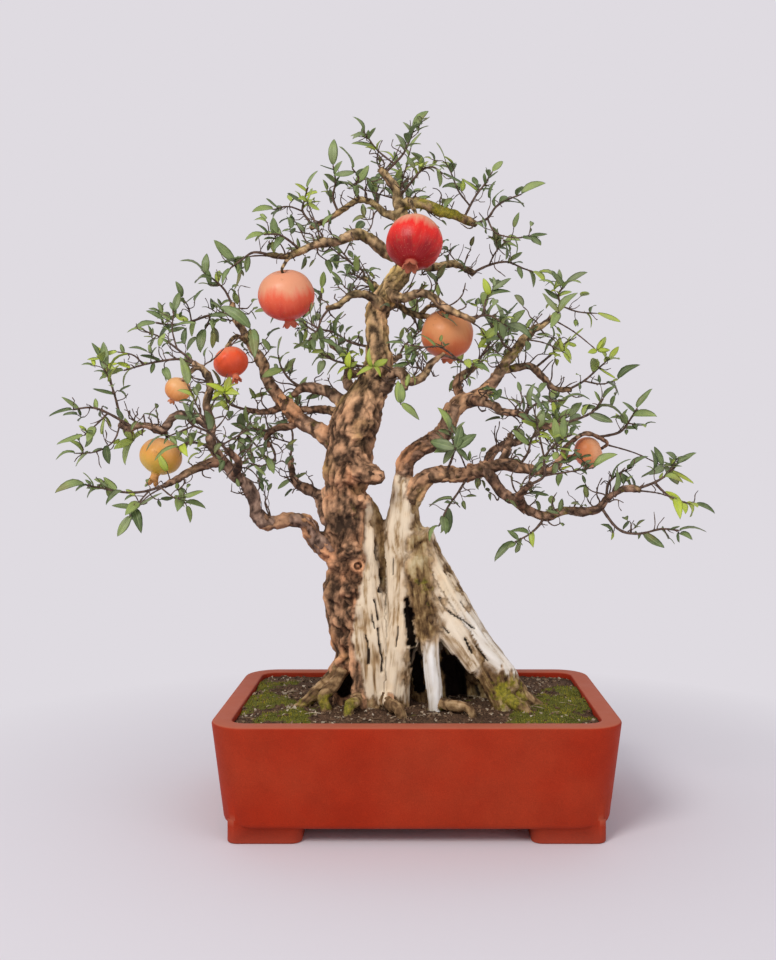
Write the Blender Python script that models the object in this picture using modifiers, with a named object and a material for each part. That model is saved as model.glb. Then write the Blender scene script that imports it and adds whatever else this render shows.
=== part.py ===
"""A pomegranate bonsai in its clay pot: an old trunk with bleached deadwood,
spreading limbs, leafy sprays and seven fruits, standing in a filled pot.

The pot's centre is at x = y = 0 while the parts are made, +X is to the right,
+Y points away from the front, and the feet stand on z = 0.
"""

import math
import random

import bmesh
import bpy
from mathutils import Matrix, Quaternion, Vector
from mathutils.bvhtree import BVHTree

MM = 0.001

# The pot
POT_TOP = (232 * MM, 160 * MM)
POT_FOOT = (219 * MM, 149 * MM)
POT_HEIGHT = 133 * MM
POT_CORNER = 42 * MM
FOOT_HEIGHT = 17 * MM
FOOT_FROM = (128 * MM, 95 * MM)
FOOT_TO = (212 * MM, 143 * MM)
FOOT_CORNER = 12 * MM
BOTTOM_ROUNDING = 7 * MM
WALL = 23 * MM
FLOOR = 18 * MM
DRAIN_AT = 90 * MM
DRAIN_RADIUS = 10 * MM

# The soil
SOIL_EDGE = 126.5 * MM
SOIL_RISE = 4 * MM
GAP = 0.35 * MM

# The tree is drawn as it is seen from the front, through an eye at this place
EYE_BACK = 1329
EYE_HEIGHT = 432
# The tree stands a little in front of the pot's middle, on the soil near its rim
TREE_FORWARD = 30
TREE_RAISED = 3.5

TRUNK_VOXEL = 5 * MM
TRUNK_FACES = 0.04
THIN_LIMB = 8
LEAF_THICKNESS = 1.5
TWIG_ROOT = 2.0
TWIG_TIP = 1.2

# Each route's points are (across, up, depth, radius) in millimetres. Across and
# up are measured in the plane of the trunk, as the eye at the front sees them.
LIVE_TRUNK = [
    (-84, 78, 0, 22), (-85, 120, 0, 20), (-82, 172, 0, 18), (-90, 212, 0, 19),
    (-95, 245, 0, 21), (-89, 276, 0, 24), (-87, 313, 0, 26), (-87, 351, 0, 27),
    (-87, 382, 0, 27), (-86, 407, 0, 30), (-83, 438, 0, 29), (-78, 463, 0, 31),
    (-68, 488, 0, 28), (-57, 513, 0, 21), (-47, 545, 0, 17), (-49, 576, 0, 15),
    (-49, 598, 2, 14.5), (-44, 615, 4, 14), (-32, 635, 7, 13), (-20, 652, 10, 11),
]
OLD_WOOD = {
    "left strip": [(-62, 366, 4, 6), (-61, 320, 0, 12), (-63, 282, -6, 16),
                   (-61, 245, -10, 19), (-54, 195, -14, 20), (-48, 140, -16, 18),
                   (-46, 84, -14, 18)],
    "middle column": [(-17, 403, 2, 11), (-16, 370, 2, 18), (-17, 332, 2, 23),
                      (-12, 295, 0, 28), (-14, 250, -4, 26), (-20, 195, -14, 21),
                      (-27, 140, -18, 18), (-28, 84, -16, 17)],
    "right slab": [(0, 332, 8, 20), (10, 295, 6, 24), (31, 257, 0, 25),
                   (48, 226, -6, 25.5), (69, 194, -12, 24), (94, 168, -16, 20),
                   (112, 150, -18, 15), (130, 126, -8, 11), (140, 88, -6, 10)],
    "slab fold": [(-2, 290, -6, 14), (16, 250, -16, 14), (36, 214, -22, 14),
                  (56, 186, -28, 12), (72, 160, -32, 9)],
    "right leg": [(66, 205, -8, 16), (80, 168, -20, 15), (97, 136, -26, 14),
                  (110, 108, -28, 14), (116, 80, -28, 12)],
    "tongue": [(-4, 312, -4, 15), (0, 278, -14, 18), (6, 244, -19, 17),
               (11, 215, -22, 12), (14, 188, -24, 8)],
    "stilt": [(17, 218, -26, 10), (19, 170, -30, 10), (23, 130, -34, 9.5),
              (25, 84, -34, 9.5)],
    "left column": [(-78, 250, -14, 12), (-72, 205, -20, 13), (-70, 160, -22, 13),
                    (-72, 120, -22, 12), (-74, 84, -20, 12)],
    "inner heart": [(-12, 345, 12, 14), (-8, 300, 20, 24), (0, 250, 28, 32),
                    (14, 200, 32, 36), (26, 150, 32, 38), (28, 84, 32, 38)],
    "back ridge": [(14, 290, 24, 14), (38, 240, 34, 18), (62, 190, 38, 22),
                   (82, 140, 40, 22), (92, 84, 40, 20)],
    "back buttress": [(-74, 300, 14, 16), (-68, 240, 30, 22), (-66, 180, 44, 24),
                      (-72, 130, 56, 20), (-78, 84, 60, 16)],
    "fork wood": [(-60, 376, 10, 4), (-54, 356, 10, 9), (-49, 338, 10, 12),
                  (-47, 305, 10, 14), (-44, 265, 8, 15), (-42, 215, 4, 15)],
    "lower burl": [(-98, 234, -6, 12), (-101, 258, -10, 16), (-97, 282, -8, 12)],
    "middle burl": [(-102, 330, -8, 14), (-99, 352, -12, 16), (-102, 374, -8, 14)],
    "upper burl": [(-98, 404, -6, 14), (-92, 424, -12, 18), (-78, 440, -14, 16)],
    "crown base": [(-100, 440, 2, 18), (-84, 458, 4, 26), (-62, 476, 2, 24)],
}
ROOTS = {
    "far left": [(-90, 170, -4, 12), (-112, 146, -10, 9), (-134, 124, -14, 8),
                 (-150, 108, -16, 7), (-156, 86, -16, 6)],
    "left arch": [(-92, 160, -12, 9), (-104, 140, -24, 8), (-116, 128, -32, 7),
                  (-112, 112, -36, 7), (-108, 86, -36, 6)],
    "left front": [(-74, 130, -24, 9), (-76, 122, -42, 8), (-84, 114, -56, 7),
                   (-88, 88, -62, 6)],
    "front": [(-40, 130, -24, 10), (-34, 118, -46, 8), (-22, 112, -66, 7),
              (-14, 88, -72, 6)],
    "front right": [(30, 118, -36, 8), (46, 116, -52, 7), (66, 112, -66, 6),
                    (72, 88, -68, 5)],
    "right": [(112, 140, -14, 11), (134, 126, -16, 9), (152, 114, -18, 7),
              (162, 88, -18, 6)],
    "right front": [(104, 130, -26, 9), (122, 118, -44, 8), (136, 110, -54, 7),
                    (140, 88, -56, 6)],
    "right back": [(70, 160, 30, 14), (100, 130, 52, 11), (124, 112, 66, 8),
                   (130, 88, 70, 6)],
    "back": [(-10, 150, 60, 16), (-6, 122, 86, 11), (4, 110, 102, 8),
             (6, 88, 106, 6)],
    "back left": [(-96, 150, 20, 12), (-118, 126, 42, 9), (-134, 112, 56, 7),
                  (-140, 88, 60, 6)],
}
LIMBS = {
    "leader": [(-44, 615, 4, 12), (-32, 635, 7, 13), (-18, 655, 11, 12),
               (-12, 676, 14, 11), (-16, 701, 14, 10), (-21, 732, 10, 9),
               (-26, 757, 6, 7), (-36, 772, 2, 5.5), (-45, 784, 0, 4.5)],
    "left low": [(-88, 312, -4, 14), (-108, 310, -8, 12.5), (-126, 322, -14, 11),
                 (-134, 341, -18, 10), (-156, 348, -24, 9), (-186, 343, -30, 9.5),
                 (-199, 355, -34, 9), (-204, 381, -40, 8), (-223, 402, -48, 7.5),
                 (-243, 422, -56, 7)],
    "left low rise": [(-238, 417, -54, 7), (-248, 428, -56, 6.5), (-256, 446, -56, 6.5),
                      (-256, 468, -54, 6), (-262, 492, -52, 5.5), (-256, 513, -52, 5),
                      (-264, 532, -52, 4.5), (-278, 542, -52, 4)],
    "left low end": [(-240, 420, -56, 6.5), (-258, 417, -62, 6), (-283, 407, -72, 5),
                     (-298, 397, -80, 4.5), (-314, 390, -88, 3.5)],
    "left tip": [(-256, 463, -54, 6), (-272, 473, -58, 6), (-294, 478, -64, 5.5),
                 (-305, 472, -68, 5), (-316, 458, -72, 5), (-337, 465, -76, 4.5),
                 (-358, 461, -80, 4), (-370, 466, -82, 3.5)],
    "left middle": [(-86, 436, 4, 16), (-108, 448, 8, 12), (-126, 461, 12, 11),
                    (-146, 472, 16, 10.5), (-159, 485, 20, 10), (-171, 500, 26, 9),
                    (-186, 522, 32, 8), (-193, 545, 36, 7), (-206, 563, 36, 6),
                    (-217, 585, 34, 5), (-227, 601, 30, 4.5), (-229, 617, 26, 4)],
    "left under": [(-150, 474, 16, 8), (-153, 465, 14, 5), (-172, 462, 16, 4.5),
                   (-186, 452, 18, 4), (-183, 438, 20, 3.5)],
    "left spur": [(-164, 492, 22, 7), (-174, 485, 24, 5), (-193, 481, 26, 4),
                  (-214, 485, 26, 3.5)],
    "left inner": [(-80, 478, 12, 12), (-96, 496, 22, 8.5), (-109, 506, 28, 8),
                   (-126, 511, 30, 7.5), (-144, 511, 30, 6), (-153, 501, 28, 4.5)],
    "left inner low": [(-82, 474, 16, 10), (-109, 484, 38, 6), (-134, 484, 46, 5),
                       (-150, 487, 50, 3.5)],
    "left high": [(-40, 606, 0, 10), (-53, 622, -14, 6), (-66, 628, -22, 6),
                  (-82, 626, -28, 5), (-96, 615, -32, 4.5), (-112, 610, -36, 4)],
    "upper left": [(-22, 674, 10, 9), (-39, 680, 4, 8), (-58, 696, -2, 7.5),
                   (-77, 702, -8, 7), (-99, 693, -12, 6.5), (-121, 691, -16, 5.5),
                   (-148, 680, -20, 5), (-164, 675, -22, 4.5), (-186, 677, -26, 3.5)],
    "crown left": [(-25, 726, 10, 7), (-39, 728, 22, 5), (-56, 742, 32, 4.5),
                   (-72, 745, 38, 4.5), (-86, 737, 42, 4), (-99, 728, 46, 4),
                   (-116, 718, 50, 3.5), (-132, 710, 54, 3.5)],
    "crown right": [(-24, 737, 8, 8), (-4, 741, 4, 7.5), (12, 739, 4, 7.5),
                    (30, 731, 8, 7), (47, 726, 10, 6.5), (63, 719, 12, 5.5),
                    (74, 714, 14, 4)],
    "right high": [(-20, 662, 14, 8), (-2, 664, 30, 6), (22, 661, 40, 6),
                   (41, 666, 46, 5), (57, 661, 52, 4.5), (71, 653, 56, 4)],
    "right arm": [(-34, 630, 0, 9), (-20, 622, -16, 6), (-2, 628, -28, 5.5),
                  (14, 628, -36, 5), (31, 615, -44, 5), (43, 607, -50, 4.5),
                  (57, 601, -52, 4), (72, 594, -54, 3.5)],
    "fruit arm": [(-38, 612, 8, 8), (-24, 614, 10, 5), (-11, 606, 8, 4.5),
                  (4, 601, 4, 4), (16, 600, 2, 3.5)],
    "centre arm": [(-48, 506, -6, 12), (-36, 514, -18, 7), (-29, 530, -26, 6.5),
                   (-18, 529, -30, 6.5), (-8, 519, -32, 6), (8, 526, -34, 5),
                   (19, 543, -34, 4.5), (34, 554, -34, 3.5)],
    "centre stub": [(-20, 530, -30, 5.5), (-15, 520, -34, 5.5), (-15, 509, -36, 5)],
    "right leader": [(-16, 396, 4, 12), (-14, 418, 6, 12.5), (3, 436, 8, 12.5),
                     (24, 447, 12, 12.5), (38, 463, 16, 12), (44, 482, 20, 11.5),
                     (57, 493, 22, 10.5), (77, 501, 24, 10), (90, 514, 26, 9),
                     (103, 531, 28, 8), (117, 550, 30, 7.5), (131, 568, 34, 6.5),
                     (144, 582, 38, 5.5), (159, 591, 42, 4.5), (170, 600, 44, 4)],
    "right low": [(64, 496, 20, 8), (78, 494, -4, 6), (96, 489, -18, 5.5),
                  (106, 482, -28, 5), (128, 479, -40, 4.5), (139, 471, -48, 4.5),
                  (160, 464, -56, 4), (178, 465, -62, 3.5)],
    "right outer": [(106, 534, 30, 7), (117, 535, 44, 5.5), (138, 539, 54, 5),
                    (149, 533, 58, 5), (161, 520, 62, 4.5), (174, 510, 64, 4),
                    (192, 509, 66, 3.5)],
    "right base": [(-8, 372, -2, 14), (2, 388, -6, 12.5), (12, 400, -10, 11.5),
                   (33, 405, -12, 11), (50, 403, -14, 10.5), (68, 406, -18, 10),
                   (89, 412, -22, 9), (106, 416, -26, 8), (128, 413, -30, 7.5),
                   (149, 408, -34, 6.5), (166, 408, -36, 5.5), (178, 420, -36, 5),
                   (187, 440, -34, 4)],
    "right sweep": [(84, 411, -22, 8), (96, 395, -30, 7.5), (106, 381, -36, 7),
                    (122, 371, -44, 6.5), (138, 360, -50, 6.5), (162, 352, -58, 6),
                    (184, 359, -66, 5.5), (207, 357, -74, 5.5), (226, 362, -80, 5),
                    (239, 376, -84, 4.5), (258, 386, -88, 4), (278, 385, -94, 3.5)],
    "right stub": [(104, 414, -24, 6), (112, 434, -20, 5), (117, 454, -18, 4.5)],
    "knob": [(-78, 428, -14, 13), (-68, 410, -26, 14.5), (-56, 403, -33, 14.5),
             (-43, 400, -36, 11)],
    "back low": [(-88, 336, 8, 12), (-112, 350, 46, 9), (-122, 378, 84, 8),
                 (-150, 394, 112, 6.5), (-158, 424, 136, 5)],
    "back left": [(-72, 478, 12, 12), (-62, 500, 44, 8), (-86, 516, 78, 7),
                  (-84, 546, 104, 6), (-108, 566, 122, 4.5)],
    "back middle": [(-40, 604, 8, 9), (-58, 610, 40, 6.5), (-46, 630, 74, 5.5),
                    (-66, 648, 100, 4)],
    "back right": [(46, 486, 22, 10), (58, 494, 54, 7.5), (50, 518, 86, 6.5),
                   (76, 540, 112, 4.5)],
    "back base": [(66, 408, -12, 9), (86, 410, 30, 7.5), (96, 434, 66, 6.5),
                  (130, 446, 94, 4.5)],
    "back crown": [(-24, 700, 14, 7), (-8, 710, 40, 5.5), (-16, 730, 64, 4)],
    "back far": [(-82, 528, 88, 6.5), (-46, 536, 120, 5), (-20, 552, 144, 4)],
    "front left": [(-226, 405, -50, 6.5), (-222, 420, -78, 5), (-236, 434, -104, 4)],
    "front right": [(132, 364, -48, 6.5), (128, 378, -76, 5), (142, 392, -102, 4)],
}
# Fruits: centre as seen from the front, radius, the way the crown end points,
# the height against the width, and how long the crown is against a short one
FRUITS = {
    "fruit_1": ((-3, 692, -56), 33, (-0.12, -0.50, -0.86), 0.98, 1.0),
    "fruit_2": ((-162, 626, -34), 33.5, (0.10, 0.35, -0.93), 0.91, 1.0),
    "fruit_3": ((38, 578, 2), 32, (0.05, 0.60, -0.80), 0.94, 1.0),
    "fruit_4": ((-231, 543, -30), 20.5, (0.35, -0.35, -0.90), 0.88, 1.8),
    "fruit_5": ((-297, 509, -72), 15, (-0.50, 0.30, -0.80), 0.92, 1.2),
    "fruit_6": ((-318, 426, -64), 24, (-0.25, -0.20, -0.95), 0.90, 2.5),
    "fruit_7": ((213, 431, -20), 18.5, (-0.93, 0.15, -0.30), 0.92, 2.3),
}
FRUIT_COLOURS = {
    "fruit_1": (0.72, 0.03, 0.02), "fruit_2": (0.72, 0.10, 0.06),
    "fruit_3": (0.62, 0.17, 0.05), "fruit_4": (0.72, 0.06, 0.02),
    "fruit_5": (0.68, 0.20, 0.04), "fruit_6": (0.75, 0.30, 0.05),
    "fruit_7": (0.70, 0.20, 0.05),
}
# The stalk that carries each fruit: from the limb to the fruit's stem end
STALKS = {
    "fruit_1": [(-8, 741, 4, 4.5), (-8, 744, -18, 4)],
    "fruit_2": [(-148, 680, -20, 4.5), (-156, 676, -26, 4)],
    "fruit_3": [(4, 601, 4, 4.5), (18, 614, 4, 4)],
    "fruit_4": [(-206, 563, 36, 4.5), (-224, 576, 8, 4)],
    "fruit_5": [(-264, 532, -52, 4.5), (-274, 536, -60, 4)],
    "fruit_6": [(-316, 458, -72, 4.5), (-314, 458, -66, 4)],
    "fruit_7": [(187, 440, -34, 4.5), (210, 455, -32, 4), (236, 444, -24, 3.5)],
}
STALK_END = 3
CROWN_FOOT = 0.93
# Leafy stems: for each spray its twigs, each with a number of leaves
SPRAYS = [
    [(7, [(-276, 541, -52), (-294, 547, -54), (-316, 545, -58), (-340, 540, -62),
          (-364, 533, -66)]),
     (3, [(-340, 540, -62), (-352, 552, -68), (-372, 556, -74)])],
    [(6, [(-268, 536, -52), (-298, 560, -40), (-318, 574, -34), (-338, 582, -30)]),
     (3, [(-298, 560, -40), (-304, 584, -36), (-302, 606, -32)])],
    [(5, [(-366, 465, -82), (-374, 497, -82), (-380, 516, -84), (-388, 534, -86)])],
    [(5, [(-352, 462, -80), (-384, 480, -96), (-405, 487, -100), (-428, 484, -104)]),
     (3, [(-384, 480, -96), (-400, 464, -106), (-414, 452, -112)]),
     (6, [(-368, 471, -88), (-376, 446, -94), (-398, 432, -98), (-424, 430, -104)])],
    [(6, [(-308, 393, -86), (-332, 384, -96), (-358, 381, -104), (-388, 386, -112),
          (-412, 391, -118)]),
     (5, [(-332, 384, -96), (-346, 368, -102), (-356, 352, -106)]),
     (3, [(-320, 389, -91), (-304, 376, -96), (-288, 368, -98)])],
    [(7, [(-246, 428, -58), (-264, 440, -84), (-282, 444, -100), (-296, 438, -112)])],
    [(7, [(-180, 457, 17), (-202, 460, 2), (-216, 459, -8), (-224, 446, -16),
          (-238, 432, -24)]),
     (4, [(-216, 459, -8), (-200, 440, -20), (-186, 424, -26)])],
    [(6, [(-182, 442, 20), (-176, 424, 8), (-192, 414, -2), (-208, 418, -8)])],
    [(6, [(-206, 483, 26), (-230, 490, 16), (-240, 503, 4), (-246, 514, -6)])],
    [(7, [(-229, 613, 27), (-238, 632, 22), (-251, 645, 18), (-266, 656, 14)])],
    [(6, [(-226, 604, 29), (-256, 602, 14), (-280, 594, 6), (-304, 590, -2),
          (-324, 592, -8)]),
     (2, [(-280, 594, 6), (-284, 612, 0), (-292, 624, -4)]),
     (3, [(-256, 602, 14), (-262, 586, 20), (-272, 574, 24)])],
    [(6, [(-140, 511, 30), (-156, 520, 22), (-168, 536, 14), (-172, 552, 6)])],
    [(7, [(-52, 535, -6), (-84, 541, -24), (-104, 546, -32), (-122, 556, -38)]),
     (4, [(-84, 541, -24), (-96, 560, -32), (-98, 576, -38)])],
    [(6, [(-46, 560, 4), (-83, 568, 40), (-102, 580, 56), (-121, 585, 70),
          (-138, 594, 80)])],
    [(5, [(-108, 611, -35), (-118, 598, -46), (-124, 582, -54), (-134, 570, -60)])],
    [(6, [(-180, 676, -25), (-202, 680, -30), (-217, 671, -36), (-232, 660, -42)])],
    [(6, [(-144, 682, -19), (-158, 694, -34), (-172, 702, -44), (-190, 702, -52)])],
    [(6, [(-128, 712, 53), (-142, 731, 58), (-139, 746, 54), (-136, 760, 50)]),
     (4, [(-142, 731, 58), (-160, 737, 50), (-178, 733, 44)])],
    [(6, [(-97, 729, 45), (-104, 747, 40), (-101, 768, 34), (-104, 788, 28)])],
    [(5, [(-70, 744, 37), (-78, 758, 20), (-72, 772, 8), (-80, 784, 0)])],
    [(8, [(-40, 778, 2), (-28, 790, -4), (-17, 802, -8), (-10, 816, -10),
          (-4, 832, -12)]),
     (6, [(-28, 790, -4), (-46, 804, -10), (-56, 816, -14), (-66, 830, -18)])],
    [(8, [(-22, 748, 8), (-6, 768, -12), (6, 782, -20), (20, 786, -26),
          (32, 778, -32)])],
    [(7, [(58, 721, 12), (72, 748, 18), (84, 764, 24), (94, 780, 28)]),
     (5, [(66, 738, 16), (52, 756, 6), (44, 776, -2), (36, 792, -8)])],
    [(7, [(71, 715, 14), (88, 722, 8), (98, 736, 4), (112, 745, 0), (130, 752, -4)]),
     (4, [(88, 722, 8), (98, 704, 0), (122, 698, -6), (142, 700, -10)])],
    [(8, [(69, 654, 56), (90, 664, 54), (112, 668, 50), (132, 660, 46),
          (150, 654, 44)]),
     (4, [(90, 664, 54), (98, 680, 36), (108, 690, 26)])],
    [(6, [(69, 596, -53), (84, 602, -58), (98, 598, -62), (112, 588, -66)]),
     (3, [(84, 602, -58), (86, 620, -62), (94, 632, -66)])],
    [(7, [(32, 553, -34), (52, 546, -40), (67, 540, -46), (84, 546, -50)]),
     (5, [(52, 546, -40), (30, 562, -58), (8, 562, -62), (-16, 566, -62)])],
    [(7, [(168, 598, 44), (178, 614, 38), (176, 628, 32), (186, 640, 26)]),
     (4, [(178, 614, 38), (200, 606, 28), (224, 604, 18)])],
    [(5, [(121, 555, 31), (108, 566, 12), (100, 580, 2), (92, 592, -6)])],
    [(8, [(188, 509, 66), (208, 520, 66), (224, 534, 66), (240, 548, 66)]),
     (4, [(208, 520, 66), (230, 516, 58), (250, 522, 50)])],
    [(7, [(146, 535, 57), (164, 550, 52), (178, 562, 46), (192, 572, 42)])],
    [(6, [(174, 465, -61), (204, 474, -70), (222, 484, -76), (232, 498, -80)])],
    [(5, [(132, 476, -43), (146, 490, -56), (164, 494, -66), (184, 496, -72)])],
    [(6, [(224, 450, -22), (252, 456, -36), (264, 470, -42), (274, 486, -48)])],
    [(7, [(66, 405, -18), (52, 382, -36), (38, 362, -48), (28, 340, -56)])],
    [(6, [(36, 405, -12), (44, 424, -38), (46, 442, -50), (40, 458, -58)])],
    [(6, [(160, 352, -58), (150, 338, -66), (138, 328, -72), (122, 320, -76)])],
    [(6, [(272, 385, -92), (296, 394, -98), (312, 404, -104), (324, 416, -108)]),
     (6, [(296, 394, -98), (312, 378, -104), (330, 370, -108), (346, 366, -112)])],
    [(6, [(228, 365, -80), (250, 336, -92), (276, 330, -98), (304, 336, -102),
          (326, 334, -106)])],
    [(7, [(126, 413, -30), (138, 430, -42), (142, 446, -50), (150, 462, -56)])],
    [(7, [(236, 374, -83), (238, 392, -76), (250, 404, -72), (266, 412, -70)])],
]
# Leafy ends of the limbs at the back and front: limb, leaves
LEAFY_ENDS = {
    "back low": 16, "back left": 16, "back middle": 14, "back right": 16,
    "back base": 16, "back crown": 13, "back far": 15, "front left": 12,
    "front right": 12,
}
LEAF_LENGTHS = (20, 34)
LEAF_WIDTH = 0.36

BARK = (0.115, 0.066, 0.042)
CLAY = (0.40, 0.075, 0.028)
EARTH = (0.060, 0.036, 0.020)
LEAF_GREENS = ((0.035, 0.095, 0.030), (0.090, 0.200, 0.035), (0.300, 0.420, 0.040))


def clear_scene():
    for obj in list(bpy.data.objects):
        bpy.data.objects.remove(obj, do_unlink=True)


def new_collection(name):
    collection = bpy.data.collections.new(name)
    bpy.context.scene.collection.children.link(collection)
    return collection


def material(name, colour, roughness):
    made = bpy.data.materials.new(name)
    made.use_nodes = True
    shader = made.node_tree.nodes["Principled BSDF"]
    shader.inputs["Base Color"].default_value = (*colour, 1.0)
    shader.inputs["Roughness"].default_value = roughness
    shader.inputs["Metallic"].default_value = 0.0
    return made


def seen(across, up, depth):
    """The place, in metres, of a point drawn as the eye at the front sees it."""
    depth -= TREE_FORWARD
    scale = (EYE_BACK + depth) / EYE_BACK
    height = EYE_HEIGHT + (up - EYE_HEIGHT) * scale + TREE_RAISED
    return Vector((across * scale, depth, height)) * MM


def placed(route):
    return [(seen(x, z, y), radius * MM) for x, z, y, radius in route]


def smooth_route(points, steps):
    """Points on a smooth curve through the route's points, with its radius."""
    found = []
    last = len(points) - 1
    for i in range(last):
        before, start, end, after = (points[min(max(k, 0), last)] for k in range(i - 1, i + 3))
        for step in range(steps):
            t = step / steps
            weights = (
                (-t + 2 * t * t - t**3) / 2,
                (2 - 5 * t * t + 3 * t**3) / 2,
                (t + 4 * t * t - 3 * t**3) / 2,
                (-t * t + t**3) / 2,
            )
            around = (before, start, end, after)
            place = sum((p * w for (p, _), w in zip(around, weights)), Vector())
            found.append((place, start[1] + (end[1] - start[1]) * t))
    return found + [points[last]]


def object_of(name, mesh, collection):
    obj = bpy.data.objects.new(name, mesh)
    collection.objects.link(obj)
    return obj


def mesh_of(bm, name):
    mesh = bpy.data.meshes.new(name)
    bm.to_mesh(mesh)
    bm.free()
    return mesh


def evaluated_mesh(obj):
    graph = bpy.context.evaluated_depsgraph_get()
    return bpy.data.meshes.new_from_object(obj.evaluated_get(graph))


def tube(name, points, bevel_resolution, collection):
    """A tapering tube as a closed mesh: 4, 6 or 8 sides for a resolution of 0, 1 or 2."""
    curve = bpy.data.curves.new(name, "CURVE")
    curve.dimensions = "3D"
    curve.bevel_depth = 1.0
    curve.bevel_resolution = bevel_resolution
    curve.use_fill_caps = True
    spline = curve.splines.new("POLY")
    spline.points.add(len(points) - 1)
    for point, (place, radius) in zip(spline.points, points):
        point.co = (*place, 1.0)
        point.radius = radius
    guide = object_of(name, curve, collection)
    bpy.context.view_layer.update()
    bm = bmesh.new()
    bm.from_mesh(evaluated_mesh(guide))
    bpy.data.objects.remove(guide, do_unlink=True)
    bmesh.ops.remove_doubles(bm, verts=bm.verts, dist=0.001 * MM)
    bmesh.ops.recalc_face_normals(bm, faces=bm.faces)
    return object_of(name, mesh_of(bm, name), collection)


def apply_modifiers(obj):
    made = evaluated_mesh(obj)
    obj.modifiers.clear()
    obj.data = made


def combine(obj, others, operation, solver="MANIFOLD"):
    """Joins the others to the object, or cuts them from it, and removes them."""
    group = bpy.data.collections.new("combined")
    for other in others:
        group.objects.link(other)
    modifier = obj.modifiers.new(operation.lower(), "BOOLEAN")
    modifier.operation = operation
    modifier.operand_type = "COLLECTION"
    modifier.collection = group
    modifier.solver = solver
    bpy.context.view_layer.update()
    apply_modifiers(obj)
    for other in others:
        bpy.data.objects.remove(other, do_unlink=True)
    bpy.data.collections.remove(group)


def keep_largest_body(obj):
    """Drops the loose scraps that a cut leaves."""
    bm = bmesh.new()
    bm.from_mesh(obj.data)
    left = set(bm.verts)
    bodies = []
    while left:
        start = left.pop()
        body = {start}
        edge_of_body = [start]
        while edge_of_body:
            vertex = edge_of_body.pop()
            for edge in vertex.link_edges:
                other = edge.other_vert(vertex)
                if other in left:
                    left.remove(other)
                    body.add(other)
                    edge_of_body.append(other)
        bodies.append(body)
    bodies.sort(key=len)
    for body in bodies[:-1]:
        bmesh.ops.delete(bm, geom=list(body), context="VERTS")
    bm.to_mesh(obj.data)
    bm.free()


def swollen(obj, by, collection):
    """A copy of the object grown outwards, used to cut its neighbours back from it."""
    bm = bmesh.new()
    bm.from_mesh(obj.data)
    bm.normal_update()
    moves = {vertex: vertex.normal * by for vertex in bm.verts}
    for vertex, move in moves.items():
        vertex.co += move
    mesh = bpy.data.meshes.new("swollen")
    bm.to_mesh(mesh)
    bm.free()
    return object_of("swollen", mesh, collection)


def clear_of(wood, obj, helpers):
    """Cuts the object back from the wood by a small gap, also where the wood's
    folds leave the swollen copy short."""
    for by in (GAP, 0.3 * GAP, 0.0):
        combine(obj, [swollen(wood, by, helpers)], "DIFFERENCE")
    keep_largest_body(obj)


def block(name, top, bottom, z_top, z_bottom, corner, collection, corner_segments=4):
    """A tapered block with rounded upright corners."""
    bm = bmesh.new()
    bmesh.ops.create_cube(bm, size=2.0)
    for vertex in bm.verts:
        half, z = (top, z_top) if vertex.co.z > 0 else (bottom, z_bottom)
        vertex.co = (vertex.co.x * half[0], vertex.co.y * half[1], z)
    upright = [e for e in bm.edges if abs(e.verts[0].co.z - e.verts[1].co.z) > MM]
    bmesh.ops.bevel(
        bm, geom=upright, offset=corner, segments=corner_segments, profile=0.5, affect="EDGES"
    )
    return object_of(name, mesh_of(bm, name), collection)


def round_lower_edge(obj, z, width):
    bm = bmesh.new()
    bm.from_mesh(obj.data)
    low = [e for e in bm.edges if all(abs(v.co.z - z) < 0.01 * MM for v in e.verts)]
    bmesh.ops.bevel(bm, geom=low, offset=width, segments=2, profile=0.5, affect="EDGES")
    obj.data = mesh_of(bm, obj.name)


def drain_hole(x, helpers):
    bm = bmesh.new()
    bmesh.ops.create_cone(
        bm,
        cap_ends=True,
        segments=12,
        radius1=DRAIN_RADIUS,
        radius2=DRAIN_RADIUS,
        depth=4 * FLOOR,
        matrix=Matrix.Translation((x, 0, FOOT_HEIGHT)),
    )
    return object_of("drain hole", mesh_of(bm, "drain hole"), helpers)


def pot_inside(inset):
    """Half sizes of the pot's hollow at its rim and floor, and the floor's height."""
    top = tuple(side - WALL - inset for side in POT_TOP)
    bottom = tuple(side - WALL - inset for side in POT_FOOT)
    return top, bottom, FOOT_HEIGHT + FLOOR + inset


def make_pot(parts, helpers):
    pot = block("pot", POT_TOP, POT_FOOT, POT_HEIGHT, FOOT_HEIGHT, POT_CORNER, parts)
    round_lower_edge(pot, FOOT_HEIGHT, BOTTOM_ROUNDING)
    top, bottom, floor = pot_inside(0)
    corner = POT_CORNER - WALL
    lift = 2 * (POT_HEIGHT - floor)
    past_rim = tuple(low + (high - low) * 2 for high, low in zip(top, bottom))
    hollow = block("hollow", past_rim, bottom, floor + lift, floor, corner, helpers)
    holes = [drain_hole(side * DRAIN_AT, helpers) for side in (-1, 1)]
    combine(pot, [hollow, *holes], "DIFFERENCE", "EXACT")
    half = [(far - near) / 2 for far, near in zip(FOOT_TO, FOOT_FROM)]
    middle = [(far + near) / 2 for far, near in zip(FOOT_TO, FOOT_FROM)]
    feet = []
    for across in (-1, 1):
        for along in (-1, 1):
            foot = block(
                "foot", half, half, FOOT_HEIGHT + FLOOR / 2, 0, FOOT_CORNER, helpers, 2
            )
            shift = Matrix.Translation((across * middle[0], along * middle[1], 0))
            foot.data.transform(shift)
            feet.append(foot)
    combine(pot, feet, "UNION", "EXACT")
    pot.data.materials.append(material("clay", CLAY, 0.6))
    return pot


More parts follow.
